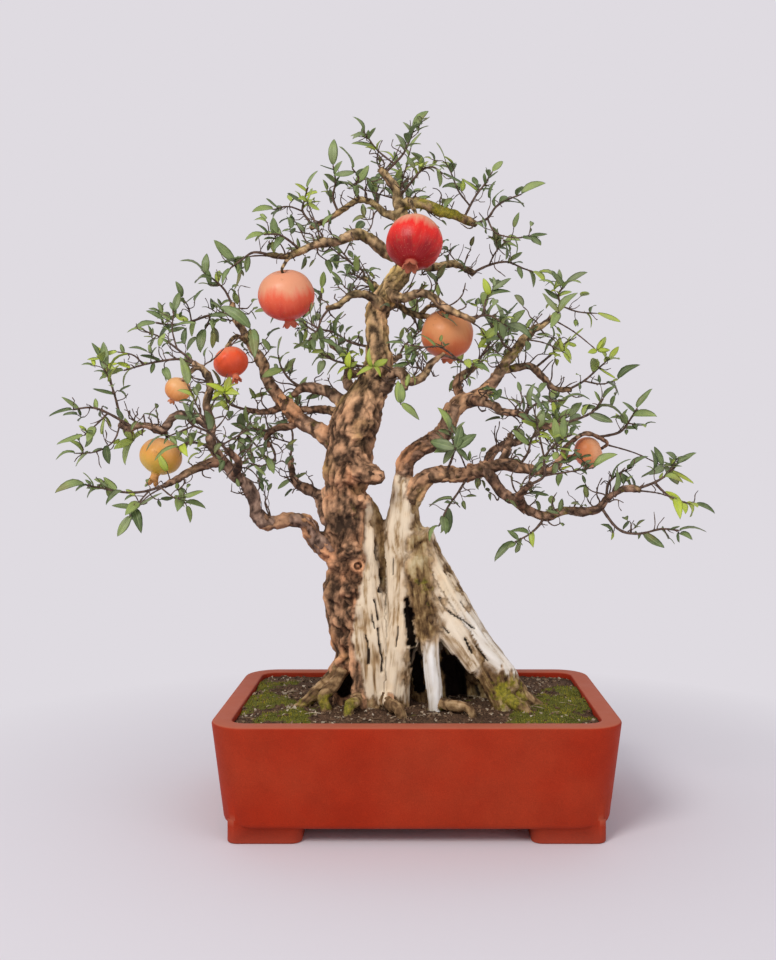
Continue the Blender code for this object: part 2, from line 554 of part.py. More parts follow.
def make_soil(parts, trunk, helpers):
    top, bottom, floor = pot_inside(GAP)
    level = (SOIL_EDGE - floor) / (POT_HEIGHT - floor)
    at_edge = tuple(low + (high - low) * level for high, low in zip(top, bottom))
    soil = block(
        "soil", at_edge, bottom, SOIL_EDGE, floor, POT_CORNER - WALL - GAP, parts, 3
    )
    bm = bmesh.new()
    bm.from_mesh(soil.data)
    bm.normal_update()
    surface = max(bm.faces, key=lambda face: face.normal.z)
    for share, rise in ((0.86, 0.6 * SOIL_RISE), (0.64, 0.4 * SOIL_RISE)):
        raised = bmesh.ops.extrude_discrete_faces(bm, faces=[surface])
        surface = raised["faces"][0]
        for vertex in surface.verts:
            vertex.co = (vertex.co.x * share, vertex.co.y * share, vertex.co.z + rise)
    soil.data = mesh_of(bm, "soil")
    clear_of(trunk, soil, helpers)
    soil.data.materials.append(material("soil", EARTH, 1.0))
    return soil


def stalk(name):
    """The points of a fruit's stalk, led into the fruit along its own axis."""
    centre, radius, crown_way, squat, _ = FRUITS[name]
    back = -Vector(crown_way).normalized() * (radius * squat * MM)
    ends = [(seen(*centre) + back * away, STALK_END * MM) for away in (1.10, 0.87)]
    return placed(STALKS[name]) + ends


def make_trunk(parts, helpers):
    """The tree's wood as one body: the old trunk, melted together, and its limbs."""
    routes = [LIVE_TRUNK, *OLD_WOOD.values()]
    pieces = [
        tube("old wood", smooth_route(placed(route), 3), 2, helpers) for route in routes
    ]
    bm = bmesh.new()
    for piece in pieces:
        bm.from_mesh(piece.data)
        bpy.data.objects.remove(piece, do_unlink=True)
    trunk = object_of("trunk", mesh_of(bm, "trunk"), parts)
    remesh = trunk.modifiers.new("melt together", "REMESH")
    remesh.mode = "VOXEL"
    remesh.voxel_size = TRUNK_VOXEL
    fewer = trunk.modifiers.new("fewer faces", "DECIMATE")
    fewer.ratio = TRUNK_FACES
    bpy.context.view_layer.update()
    apply_modifiers(trunk)
    keep_largest_body(trunk)
    limbs = [
        tube("limb", placed(route), 0 if route[1][3] <= THIN_LIMB else 1, helpers)
        for route in [*LIMBS.values(), *ROOTS.values()]
    ]
    limbs += [tube("stalk", stalk(name), 0, helpers) for name in STALKS]
    combine(trunk, limbs, "UNION")
    keep_largest_body(trunk)
    trunk.data.materials.append(material("bark", BARK, 0.85))
    return trunk


def fruit_profile(row, tooth, squat, crown):
    """Radius and height, in fruit radii, of one row of the fruit's points.

    Row 0 is the stem end, and the last rows are the crown that was the flower.
    """
    body = (
        (0.0, -0.90), (0.40, -0.92), (0.80, -0.62), (1.0, -0.05), (0.86, 0.52), (0.42, 0.88),
    )
    above_body = ((0.21, 0.05), (0.27, 0.14), (0.11, 0.08), (0.0, 0.03))
    if row < len(body):
        return body[row][0], body[row][1] * squat
    radius, above = above_body[row - len(body)]
    if tooth and row - len(body) == 1:
        radius += 0.05
        above += 0.15
    return radius, CROWN_FOOT * squat + above * crown


def make_fruit(name, trunk, parts, helpers):
    centre, radius, crown_way, squat, crown = FRUITS[name]
    segments, rings = 12, 9
    bm = bmesh.new()
    bmesh.ops.create_uvsphere(bm, u_segments=segments, v_segments=rings, radius=1.0)
    for vertex in bm.verts:
        row = round((math.pi / 2 + math.asin(max(-1, min(1, vertex.co.z)))) / math.pi * rings)
        angle = math.atan2(vertex.co.y, vertex.co.x)
        tooth = round(angle / (2 * math.pi) * segments) % 2 == 0
        out, height = fruit_profile(row, tooth, squat, crown)
        vertex.co = (out * math.cos(angle), out * math.sin(angle), height)
    turn = Vector((0, 0, 1)).rotation_difference(Vector(crown_way)).to_matrix().to_4x4()
    place = Matrix.Translation(seen(*centre))
    bm.transform(place @ turn @ Matrix.Scale(radius * MM, 4))
    fruit = object_of(name, mesh_of(bm, name), parts)
    clear_of(trunk, fruit, helpers)
    fruit.data.materials.append(material(name, FRUIT_COLOURS[name], 0.35))
    return fruit


def leaf_corners(base, way, face, length, width, thickness):
    """Points of one leaf blade: its outline, then the rib's points above and below."""
    across = way.cross(face)
    fold = 0.12 * width
    droop = 0.16 * length
    outline = ((0, 0), (0.30, 0.5), (0.66, 0.40), (1, 0), (0.66, -0.40), (0.30, -0.5))
    corners = [
        base + way * (u * length) + across * (v * width) + face * (abs(v) * fold - u * u * droop)
        for u, v in outline
    ]
    rib = base + way * (0.46 * length) - face * (0.2 * droop + 0.2 * fold)
    return corners, rib + face * (thickness / 2), rib - face * (thickness / 2)


def leaf_mesh(bm, *shape):
    """A closed blade, split into triangles alike on both faces."""
    corners, above, below = leaf_corners(*shape)
    ring = [bm.verts.new(corner) for corner in corners]
    top, bottom = bm.verts.new(above), bm.verts.new(below)
    for i, corner in enumerate(ring):
        after = ring[(i + 1) % len(ring)]
        bm.faces.new((corner, after, bottom))
        bm.faces.new((after, corner, top))
    bmesh.ops.recalc_face_normals(bm, faces=bm.faces)


def tree_of(bm_or_mesh):
    bm = bmesh.new()
    bm.from_mesh(bm_or_mesh)
    tree = BVHTree.FromBMesh(bm)
    bm.free()
    return tree


def blade_tree(shape, margin):
    """A search tree of the blade grown by a margin, to test its clearance."""
    base, way, face, length, width, thickness = shape
    bm = bmesh.new()
    leaf_mesh(bm, base, way, face, length + margin, width + 2 * margin, thickness + 2 * margin)
    tree = BVHTree.FromBMesh(bm)
    bm.free()
    return tree


def inside_a_fruit(points, margin):
    for centre, radius, *_ in FRUITS.values():
        middle = seen(*centre)
        if any((point - middle).length < radius * MM + margin for point in points):
            return True
    return False


def point_along(points, part):
    """The place and direction at a part of the way along a twig."""
    lengths = [(b - a).length for a, b in zip(points, points[1:])]
    left = part * sum(lengths)
    for i, length in enumerate(lengths):
        if left <= length or i == len(lengths) - 1:
            way = (points[i + 1] - points[i]).normalized()
            return points[i] + way * min(left, length), way
        left -= length
    return points[-1], Vector((0, 0, 1))


def leaf_on(points, number, count, rng, turn):
    """The shape of a twig's leaf: the last at its tip, the others in pairs behind."""
    part = 1.0 - 0.62 * number / max(count, 2)
    place, way = point_along(points, part)
    side = way.orthogonal().normalized()
    side.rotate(Quaternion(way, number * 2.4 + rng.uniform(-0.5, 0.5) + turn))
    spread = 0.25 if number == 0 else rng.uniform(0.8, 1.15)
    aim = (way * math.cos(spread) + side * math.sin(spread)).normalized()
    aim = (aim + Vector((0, 0, rng.uniform(-0.30, 0.35)))).normalized()
    face = Vector((rng.uniform(-0.6, 0.6), rng.uniform(-1.1, -0.1), 1.0))
    face = (face - aim * face.dot(aim)).normalized()
    length = rng.uniform(*LEAF_LENGTHS) * MM
    width = length * LEAF_WIDTH * rng.uniform(0.9, 1.15)
    return place - aim * (0.4 * MM), aim, face, length, width, LEAF_THICKNESS * MM


def clear_leaf(points, number, count, seed, obstacles):
    """The first of a few ways of setting this leaf that touches nothing."""
    for attempt in range(7):
        rng = random.Random(seed * 1000 + number * 10 + attempt)
        shape = leaf_on(points, number, count, rng, attempt * 0.9)
        corners, above, below = leaf_corners(*shape)
        if inside_a_fruit([*corners, above, below], MM):
            continue
        tree = blade_tree(shape, 0.5 * MM)
        if not any(tree.overlap(other) for other in obstacles):
            return shape
    return None


def twig_tube(points, margin, helpers):
    last = len(points) - 1
    radii = [
        (TWIG_ROOT + (TWIG_TIP - TWIG_ROOT) * i / last) * MM + margin for i in range(last + 1)
    ]
    return tube("twig", list(zip(points, radii)), 0, helpers)


def touches(points, obstacles, helpers):
    probe = twig_tube(points, GAP, helpers)
    tree = tree_of(probe.data)
    bpy.data.objects.remove(probe, do_unlink=True)
    return inside_a_fruit(points, TWIG_ROOT * MM) or any(tree.overlap(o) for o in obstacles)


def bent_clear(points, rooted, obstacles, helpers):
    """The twig's points, started clear of the limb that it grows from and bent
    past whatever else it would cross, or None."""
    trims = range(0, 52) if rooted else (0,)
    for bend in (0, -7, 7, -14, 14):
        bent = [points[0]]
        bent += [point + Vector((0, bend * MM, 0.3 * bend * MM)) for point in points[1:]]
        onward = (bent[1] - bent[0]).normalized()
        for trim in trims:
            start = bent[0] + onward * (0.5 * trim * MM)
            if (start - bent[1]).length < 4 * MM:
                break
            if not touches([start, *bent[1:]], obstacles, helpers):
                return [start, *bent[1:]]
    return None


def make_spray(name, twigs, seed, fixed, sprays, parts, helpers):
    """One leafy stem: its twigs and leaves as one body, clear of all the others."""
    stems = []
    for count, points in twigs:
        clear = bent_clear(points, not stems, [*fixed, *sprays], helpers)
        if clear:
            stems.append((count, clear))
    tubes = [twig_tube(points, 0, helpers) for _, points in stems]
    leaves = []
    blades = []
    for twig_number, (count, points) in enumerate(stems):
        for number in range(count):
            if number % 2 == 1:
                continue
            leaf_seed = seed * 10 + twig_number
            obstacles = [*fixed, *sprays, *blades]
            shape = clear_leaf(points, number, count, leaf_seed, obstacles)
            if shape is None:
                continue
            blades.append(blade_tree(shape, 0.0))
            bm = bmesh.new()
            leaf_mesh(bm, *shape)
            leaves.append(object_of("leaf", mesh_of(bm, "leaf"), helpers))
    spray = object_of(name, tubes[0].data.copy(), parts)
    bpy.data.objects.remove(tubes[0], do_unlink=True)
    combine(spray, [*tubes[1:], *leaves], "UNION")
    keep_largest_body(spray)
    spray.data.materials.append(material(name, LEAF_GREENS[seed % 3], 0.5))
    return spray


def leafy_end(limb, leaves, seed):
    """The twigs at the end of a limb that carries its leaves by a rule: one
    leads on, and the others fork from it."""
    rng = random.Random(seed)
    points = [place for place, _ in placed(LIMBS[limb])]
    onward = (points[-1] - points[-2]).normalized()
    main = [points[-1] - onward * (2 * MM)]
    for _ in range(4):
        bend = Vector((rng.uniform(-1, 1), rng.uniform(-0.6, 1), rng.uniform(-0.5, 0.8)))
        main.append(main[-1] + (onward * 1.3 + bend * 0.55).normalized() * (24 * MM))
    twigs = [(round(0.4 * leaves), main)]
    side = onward.orthogonal().normalized()
    for root, length in ((1, 30), (2, 27), (3, 20)):
        side.rotate(Quaternion(onward, 2.2))
        way = (onward * 0.62 + side).normalized()
        bend = Vector((0, 0, rng.uniform(4, 10))) * MM
        end = main[root] + way * (1.8 * length * MM) + bend
        twigs.append((round(0.2 * leaves), [main[root], end]))
    return twigs


def make_sprays(trunk, others, parts, helpers):
    fixed = [tree_of(obj.data) for obj in (trunk, *others)]
    sprays = []
    made = []
    routes = [
        [(count, [seen(*point) for point in points]) for count, points in twigs]
        for twigs in SPRAYS
    ]
    routes += [
        leafy_end(limb, leaves, 900 + number)
        for number, (limb, leaves) in enumerate(LEAFY_ENDS.items())
    ]
    for number, twigs in enumerate(routes):
        name = f"spray_{number + 1:02}"
        spray = make_spray(name, twigs, number + 1, fixed, sprays, parts, helpers)
        sprays.append(tree_of(spray.data))
        made.append(spray)
    return made


def centre_over_origin(objects):
    """Moves everything sideways, so that the whole stands centred over the origin."""
    corners = [vertex.co for obj in objects for vertex in obj.data.vertices]
    middle = [
        (min(c[axis] for c in corners) + max(c[axis] for c in corners)) / 2
        for axis in (0, 1)
    ]
    for obj in objects:
        obj.location = (-middle[0], -middle[1], 0.0)


def main():
    clear_scene()
    parts = new_collection("pomegranate bonsai")
    helpers = new_collection("helpers")
    pot = make_pot(parts, helpers)
    trunk = make_trunk(parts, helpers)
    soil = make_soil(parts, trunk, helpers)
    fruits = [make_fruit(name, trunk, parts, helpers) for name in FRUITS]
    sprays = make_sprays(trunk, [pot, soil, *fruits], parts, helpers)
    for obj in (pot, trunk, soil, *fruits):
        obj.data.set_sharp_from_angle(angle=math.radians(40))
    centre_over_origin([pot, trunk, soil, *fruits, *sprays])


main()
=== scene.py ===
"""The finish of a pomegranate bonsai in its clay pot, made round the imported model.

The old trunk with its bleached deadwood, the limbs, the leafy sprigs, the fruits,
the mossy ground and the pot are fine meshes that stand for the model's plain
solids. Every place is in metres, in the model's own frame: +X is to the right,
+Y points away from the front, and the pot's feet stand on z = 0.
"""

import math
import random

import bmesh
import bpy
from bpy.props import FloatProperty, FloatVectorProperty, IntProperty, PointerProperty
from bpy.types import Operator, Panel, PropertyGroup
from mathutils import Matrix, Quaternion, Vector, kdtree, noise
from mathutils.bvhtree import BVHTree


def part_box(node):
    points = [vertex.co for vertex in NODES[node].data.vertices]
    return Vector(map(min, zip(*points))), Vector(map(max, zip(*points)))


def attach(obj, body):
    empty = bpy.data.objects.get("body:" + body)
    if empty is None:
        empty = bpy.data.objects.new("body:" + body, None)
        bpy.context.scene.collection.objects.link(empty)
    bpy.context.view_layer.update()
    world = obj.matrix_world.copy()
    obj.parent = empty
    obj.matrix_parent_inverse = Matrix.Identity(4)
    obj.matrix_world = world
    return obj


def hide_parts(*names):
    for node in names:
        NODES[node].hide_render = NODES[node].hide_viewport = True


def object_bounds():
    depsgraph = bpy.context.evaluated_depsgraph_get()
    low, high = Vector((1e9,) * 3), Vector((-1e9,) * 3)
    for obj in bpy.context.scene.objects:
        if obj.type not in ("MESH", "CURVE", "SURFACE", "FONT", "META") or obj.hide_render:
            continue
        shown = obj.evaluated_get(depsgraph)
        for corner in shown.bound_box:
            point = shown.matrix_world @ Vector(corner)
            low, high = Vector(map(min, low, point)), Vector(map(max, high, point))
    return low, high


bl_info = {
    "name": "Pomegranate bonsai finish",
    "version": (1, 0, 0),
    "blender": (4, 5, 0),
    "location": "3D View > Sidebar > Bonsai",
    "description": "Fine wood, leaves, fruits, ground and pot for a potted pomegranate tree",
    "category": "Object",
}

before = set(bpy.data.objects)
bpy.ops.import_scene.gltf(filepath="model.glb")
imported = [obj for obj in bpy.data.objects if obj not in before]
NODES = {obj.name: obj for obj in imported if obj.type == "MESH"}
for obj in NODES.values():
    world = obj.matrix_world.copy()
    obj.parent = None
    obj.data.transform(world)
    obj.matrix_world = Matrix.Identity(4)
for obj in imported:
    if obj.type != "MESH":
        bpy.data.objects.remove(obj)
MODEL_BOX = [Vector(corner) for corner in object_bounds()]
POT_BOX = [Vector(corner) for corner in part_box("pot")]

MM = 0.001
BODY = "root"

# The pot
POT_MIDDLE = Vector(((POT_BOX[0].x + POT_BOX[1].x) / 2, (POT_BOX[0].y + POT_BOX[1].y) / 2, 0))
POT_TOP = tuple((POT_BOX[1] - POT_BOX[0])[:2][axis] / 2 for axis in (0, 1))
POT_HEIGHT = POT_BOX[1].z
POT_TAPER = (13 * MM, 11 * MM)
POT_CORNER = 42 * MM
BOTTOM_ROUNDING = 7 * MM
WALL = 23 * MM
FLOOR = 18 * MM
FOOT_HEIGHT = 17 * MM
FOOT_FROM = (128 * MM, 95 * MM)
FOOT_TO = (212 * MM, 143 * MM)
FOOT_CORNER = 12 * MM
DRAIN_AT = 90 * MM
DRAIN_RADIUS = 10 * MM

# The ground in the pot
SOIL_EDGE = 126.5 * MM
SOIL_RISE = 4 * MM
SOIL_GAP = 0.35 * MM

# The tree is drawn as it is seen from the front, through an eye at this place
EYE_BACK = 1329
EYE_HEIGHT = 432
TREE_FORWARD = 30
TREE_RAISED = 3.5

BLADE_THICKNESS = 0.45 * MM
LEAF_LENGTHS = (20, 34)
LEAF_WIDTH = 0.36

# Each route's points are (across, up, depth, radius) in millimetres. Across and
# up are measured in the plane of the trunk, as the eye at the front sees them.
LIVE_TRUNK = [
    (-84, 78, 0, 22), (-85, 120, 0, 20), (-82, 172, 0, 18), (-90, 212, 0, 19),
    (-95, 245, 0, 21), (-89, 276, 0, 24), (-87, 313, 0, 26), (-87, 351, 0, 27),
    (-87, 382, 0, 27), (-86, 407, 0, 30), (-83, 438, 0, 29), (-78, 463, 0, 31),
    (-68, 488, 0, 28), (-57, 513, 0, 21), (-47, 545, 0, 17), (-49, 576, 0, 15),
    (-49, 598, 2, 14.5), (-44, 615, 4, 14), (-32, 635, 7, 13), (-20, 652, 10, 11),
]
OLD_WOOD = {
    "left strip": [(-62, 366, 4, 6), (-61, 320, 0, 12), (-63, 282, -6, 16),
                   (-61, 245, -10, 19), (-54, 195, -14, 20), (-48, 140, -16, 18),
                   (-46, 84, -14, 18)],
    "middle column": [(-17, 403, 2, 11), (-16, 370, 2, 18), (-17, 332, 2, 23),
                      (-12, 295, 0, 28), (-14, 250, -4, 26), (-20, 195, -14, 21),
                      (-27, 140, -18, 18), (-28, 84, -16, 17)],
    "right slab": [(0, 332, 8, 20), (10, 295, 6, 24), (31, 257, 0, 25),
                   (48, 226, -6, 25.5), (69, 194, -12, 24), (94, 168, -16, 20),
                   (112, 150, -18, 15), (130, 126, -8, 11), (140, 88, -6, 10)],
    "slab fold": [(-2, 290, -6, 14), (16, 250, -16, 14), (36, 214, -22, 14),
                  (56, 186, -28, 12), (72, 160, -32, 9)],
    "right leg": [(66, 205, -8, 16), (80, 168, -20, 15), (97, 136, -26, 14),
                  (110, 108, -28, 14), (116, 80, -28, 12)],
    "tongue": [(-4, 312, -4, 15), (0, 278, -14, 18), (6, 244, -19, 17),
               (11, 215, -22, 12), (14, 188, -24, 8)],
    "stilt": [(17, 218, -26, 10), (19, 170, -30, 10), (23, 130, -34, 9.5),
              (25, 84, -34, 9.5)],
    "left column": [(-78, 250, -14, 12), (-72, 205, -20, 13), (-70, 160, -22, 13),
                    (-72, 120, -22, 12), (-74, 84, -20, 12)],
    "inner heart": [(-12, 345, 12, 14), (-8, 300, 20, 24), (0, 250, 28, 32),
                    (14, 200, 32, 36), (26, 150, 32, 38), (28, 84, 32, 38)],
    "back ridge": [(14, 290, 24, 14), (38, 240, 34, 18), (62, 190, 38, 22),
                   (82, 140, 40, 22), (92, 84, 40, 20)],
    "back buttress": [(-74, 300, 14, 16), (-68, 240, 30, 22), (-66, 180, 44, 24),
                      (-72, 130, 56, 20), (-78, 84, 60, 16)],
    "fork wood": [(-60, 376, 10, 4), (-54, 356, 10, 9), (-49, 338, 10, 12),
                  (-47, 305, 10, 14), (-44, 265, 8, 15), (-42, 215, 4, 15)],
    "lower burl": [(-98, 234, -6, 12), (-101, 258, -10, 16), (-97, 282, -8, 12)],
    "middle burl": [(-102, 330, -8, 14), (-99, 352, -12, 16), (-102, 374, -8, 14)],
    "upper burl": [(-98, 404, -6, 14), (-92, 424, -12, 18), (-78, 440, -14, 16)],
    "crown base": [(-100, 440, 2, 18), (-84, 458, 4, 26), (-62, 476, 2, 24)],
}
ROOTS = {
    "far left": [(-90, 170, -4, 12), (-112, 146, -10, 9), (-134, 124, -14, 8),
                 (-150, 108, -16, 7), (-156, 86, -16, 6)],
    "left arch": [(-92, 160, -12, 9), (-104, 140, -24, 8), (-116, 128, -32, 7),
                  (-112, 112, -36, 7), (-108, 86, -36, 6)],
    "left front": [(-74, 130, -24, 9), (-76, 122, -42, 8), (-84, 114, -56, 7),
                   (-88, 88, -62, 6)],
    "front": [(-40, 130, -24, 10), (-34, 118, -46, 8), (-22, 112, -66, 7),
              (-14, 88, -72, 6)],
    "front right": [(30, 118, -36, 8), (46, 116, -52, 7), (66, 112, -66, 6),
                    (72, 88, -68, 5)],
    "right": [(112, 140, -14, 11), (134, 126, -16, 9), (152, 114, -18, 7),
              (162, 88, -18, 6)],
    "right front": [(104, 130, -26, 9), (122, 118, -44, 8), (136, 110, -54, 7),
                    (140, 88, -56, 6)],
    "right back": [(70, 160, 30, 14), (100, 130, 52, 11), (124, 112, 66, 8),
                   (130, 88, 70, 6)],
    "back": [(-10, 150, 60, 16), (-6, 122, 86, 11), (4, 110, 102, 8),
             (6, 88, 106, 6)],
    "back left": [(-96, 150, 20, 12), (-118, 126, 42, 9), (-134, 112, 56, 7),
                  (-140, 88, 60, 6)],
}
LIMBS = {
    "leader": [(-44, 615, 4, 12), (-32, 635, 7, 13), (-18, 655, 11, 12),
               (-12, 676, 14, 11), (-16, 701, 14, 10), (-21, 732, 10, 9),
               (-26, 757, 6, 7), (-36, 772, 2, 5.5), (-45, 784, 0, 4.5)],
    "left low": [(-88, 312, -4, 14), (-108, 310, -8, 12.5), (-126, 322, -14, 11),
                 (-134, 341, -18, 10), (-156, 348, -24, 9), (-186, 343, -30, 9.5),
                 (-199, 355, -34, 9), (-204, 381, -40, 8), (-223, 402, -48, 7.5),
                 (-243, 422, -56, 7)],
    "left low rise": [(-238, 417, -54, 7), (-248, 428, -56, 6.5), (-256, 446, -56, 6.5),
                      (-256, 468, -54, 6), (-262, 492, -52, 5.5), (-256, 513, -52, 5),
                      (-264, 532, -52, 4.5), (-278, 542, -52, 4)],
    "left low end": [(-240, 420, -56, 6.5), (-258, 417, -62, 6), (-283, 407, -72, 5),
                     (-298, 397, -80, 4.5), (-314, 390, -88, 3.5)],
    "left tip": [(-256, 463, -54, 6), (-272, 473, -58, 6), (-294, 478, -64, 5.5),
                 (-305, 472, -68, 5), (-316, 458, -72, 5), (-337, 465, -76, 4.5),
                 (-358, 461, -80, 4), (-370, 466, -82, 3.5)],
    "left middle": [(-86, 436, 4, 16), (-108, 448, 8, 12), (-126, 461, 12, 11),
                    (-146, 472, 16, 10.5), (-159, 485, 20, 10), (-171, 500, 26, 9),
                    (-186, 522, 32, 8), (-193, 545, 36, 7), (-206, 563, 36, 6),
                    (-217, 585, 34, 5), (-227, 601, 30, 4.5), (-229, 617, 26, 4)],
    "left under": [(-150, 474, 16, 8), (-153, 465, 14, 5), (-172, 462, 16, 4.5),
                   (-186, 452, 18, 4), (-183, 438, 20, 3.5)],
    "left spur": [(-164, 492, 22, 7), (-174, 485, 24, 5), (-193, 481, 26, 4),
                  (-214, 485, 26, 3.5)],
    "left inner": [(-80, 478, 12, 12), (-96, 496, 22, 8.5), (-109, 506, 28, 8),
                   (-126, 511, 30, 7.5), (-144, 511, 30, 6), (-153, 501, 28, 4.5)],
    "left inner low": [(-82, 474, 16, 10), (-109, 484, 38, 6), (-134, 484, 46, 5),
                       (-150, 487, 50, 3.5)],
    "left high": [(-40, 606, 0, 10), (-53, 622, -14, 6), (-66, 628, -22, 6),
                  (-82, 626, -28, 5), (-96, 615, -32, 4.5), (-112, 610, -36, 4)],
    "upper left": [(-22, 674, 10, 9), (-39, 680, 4, 8), (-58, 696, -2, 7.5),
                   (-77, 702, -8, 7), (-99, 693, -12, 6.5), (-121, 691, -16, 5.5),
                   (-148, 680, -20, 5), (-164, 675, -22, 4.5), (-186, 677, -26, 3.5)],
    "crown left": [(-25, 726, 10, 7), (-39, 728, 22, 5), (-56, 742, 32, 4.5),
                   (-72, 745, 38, 4.5), (-86, 737, 42, 4), (-99, 728, 46, 4),
                   (-116, 718, 50, 3.5), (-132, 710, 54, 3.5)],
    "crown right": [(-24, 737, 8, 8), (-4, 741, 4, 7.5), (12, 739, 4, 7.5),
                    (30, 731, 8, 7), (47, 726, 10, 6.5), (63, 719, 12, 5.5),
                    (74, 714, 14, 4)],
    "right high": [(-20, 662, 14, 8), (-2, 664, 30, 6), (22, 661, 40, 6),
                   (41, 666, 46, 5), (57, 661, 52, 4.5), (71, 653, 56, 4)],
    "right arm": [(-34, 630, 0, 9), (-20, 622, -16, 6), (-2, 628, -28, 5.5),
                  (14, 628, -36, 5), (31, 615, -44, 5), (43, 607, -50, 4.5),
                  (57, 601, -52, 4), (72, 594, -54, 3.5)],
    "fruit arm": [(-38, 612, 8, 8), (-24, 614, 10, 5), (-11, 606, 8, 4.5),
                  (4, 601, 4, 4), (16, 600, 2, 3.5)],
    "centre arm": [(-48, 506, -6, 12), (-36, 514, -18, 7), (-29, 530, -26, 6.5),
                   (-18, 529, -30, 6.5), (-8, 519, -32, 6), (8, 526, -34, 5),
                   (19, 543, -34, 4.5), (34, 554, -34, 3.5)],
    "centre stub": [(-20, 530, -30, 5.5), (-15, 520, -34, 5.5), (-15, 509, -36, 5)],
    "right leader": [(-16, 396, 4, 12), (-14, 418, 6, 12.5), (3, 436, 8, 12.5),
                     (24, 447, 12, 12.5), (38, 463, 16, 12), (44, 482, 20, 11.5),
                     (57, 493, 22, 10.5), (77, 501, 24, 10), (90, 514, 26, 9),
                     (103, 531, 28, 8), (117, 550, 30, 7.5), (131, 568, 34, 6.5),
                     (144, 582, 38, 5.5), (159, 591, 42, 4.5), (170, 600, 44, 4)],
    "right low": [(64, 496, 20, 8), (78, 494, -4, 6), (96, 489, -18, 5.5),
                  (106, 482, -28, 5), (128, 479, -40, 4.5), (139, 471, -48, 4.5),
                  (160, 464, -56, 4), (178, 465, -62, 3.5)],
    "right outer": [(106, 534, 30, 7), (117, 535, 44, 5.5), (138, 539, 54, 5),
                    (149, 533, 58, 5), (161, 520, 62, 4.5), (174, 510, 64, 4),
                    (192, 509, 66, 3.5)],
    "right base": [(-8, 372, -2, 14), (2, 388, -6, 12.5), (12, 400, -10, 11.5),
                   (33, 405, -12, 11), (50, 403, -14, 10.5), (68, 406, -18, 10),
                   (89, 412, -22, 9), (106, 416, -26, 8), (128, 413, -30, 7.5),
                   (149, 408, -34, 6.5), (166, 408, -36, 5.5), (178, 420, -36, 5),
                   (187, 440, -34, 4)],
    "right sweep": [(84, 411, -22, 8), (96, 395, -30, 7.5), (106, 381, -36, 7),
                    (122, 371, -44, 6.5), (138, 360, -50, 6.5), (162, 352, -58, 6),
                    (184, 359, -66, 5.5), (207, 357, -74, 5.5), (226, 362, -80, 5),
                    (239, 376, -84, 4.5), (258, 386, -88, 4), (278, 385, -94, 3.5)],
    "right stub": [(104, 414, -24, 6), (112, 434, -20, 5), (117, 454, -18, 4.5)],
    "knob": [(-78, 428, -14, 13), (-68, 410, -26, 14.5), (-56, 403, -33, 14.5),
             (-43, 400, -36, 11)],
    "back low": [(-88, 336, 8, 12), (-112, 350, 46, 9), (-122, 378, 84, 8),
                 (-150, 394, 112, 6.5), (-158, 424, 136, 5)],
    "back left": [(-72, 478, 12, 12), (-62, 500, 44, 8), (-86, 516, 78, 7),
                  (-84, 546, 104, 6), (-108, 566, 122, 4.5)],
    "back middle": [(-40, 604, 8, 9), (-58, 610, 40, 6.5), (-46, 630, 74, 5.5),
                    (-66, 648, 100, 4)],
    "back right": [(46, 486, 22, 10), (58, 494, 54, 7.5), (50, 518, 86, 6.5),
                   (76, 540, 112, 4.5)],
    "back base": [(66, 408, -12, 9), (86, 410, 30, 7.5), (96, 434, 66, 6.5),
                  (130, 446, 94, 4.5)],
    "back crown": [(-24, 700, 14, 7), (-8, 710, 40, 5.5), (-16, 730, 64, 4)],
    "back far": [(-82, 528, 88, 6.5), (-46, 536, 120, 5), (-20, 552, 144, 4)],
    "front left": [(-226, 405, -50, 6.5), (-222, 420, -78, 5), (-236, 434, -104, 4)],
    "front right": [(132, 364, -48, 6.5), (128, 378, -76, 5), (142, 392, -102, 4)],
}
# Fruits: centre as seen from the front, radius, the way the crown end points,
# the height against the width, and how long the crown is against a short one
FRUITS = {
    "fruit_1": ((-3, 692, -56), 33, (-0.12, -0.50, -0.86), 0.98, 1.0),
    "fruit_2": ((-162, 626, -34), 33.5, (0.10, 0.35, -0.93), 0.91, 1.0),
    "fruit_3": ((38, 578, 2), 32, (0.05, 0.60, -0.80), 0.94, 1.0),
    "fruit_4": ((-231, 543, -30), 20.5, (0.35, -0.35, -0.90), 0.88, 1.8),
    "fruit_5": ((-297, 509, -72), 15, (-0.50, 0.30, -0.80), 0.92, 1.2),
    "fruit_6": ((-318, 426, -64), 24, (-0.25, -0.20, -0.95), 0.90, 2.5),
    "fruit_7": ((213, 431, -20), 18.5, (-0.93, 0.15, -0.30), 0.92, 2.3),
}
# The stalk that carries each fruit: from the limb to the fruit's stem end
STALKS = {
    "fruit_1": [(-8, 741, 4, 4.5), (-8, 744, -18, 4)],
    "fruit_2": [(-148, 680, -20, 4.5), (-156, 676, -26, 4)],
    "fruit_3": [(4, 601, 4, 4.5), (18, 614, 4, 4)],
    "fruit_4": [(-206, 563, 36, 4.5), (-224, 576, 8, 4)],
    "fruit_5": [(-264, 532, -52, 4.5), (-274, 536, -60, 4)],
    "fruit_6": [(-316, 458, -72, 4.5), (-314, 458, -66, 4)],
    "fruit_7": [(187, 440, -34, 4.5), (210, 455, -32, 4), (236, 444, -24, 3.5)],
}
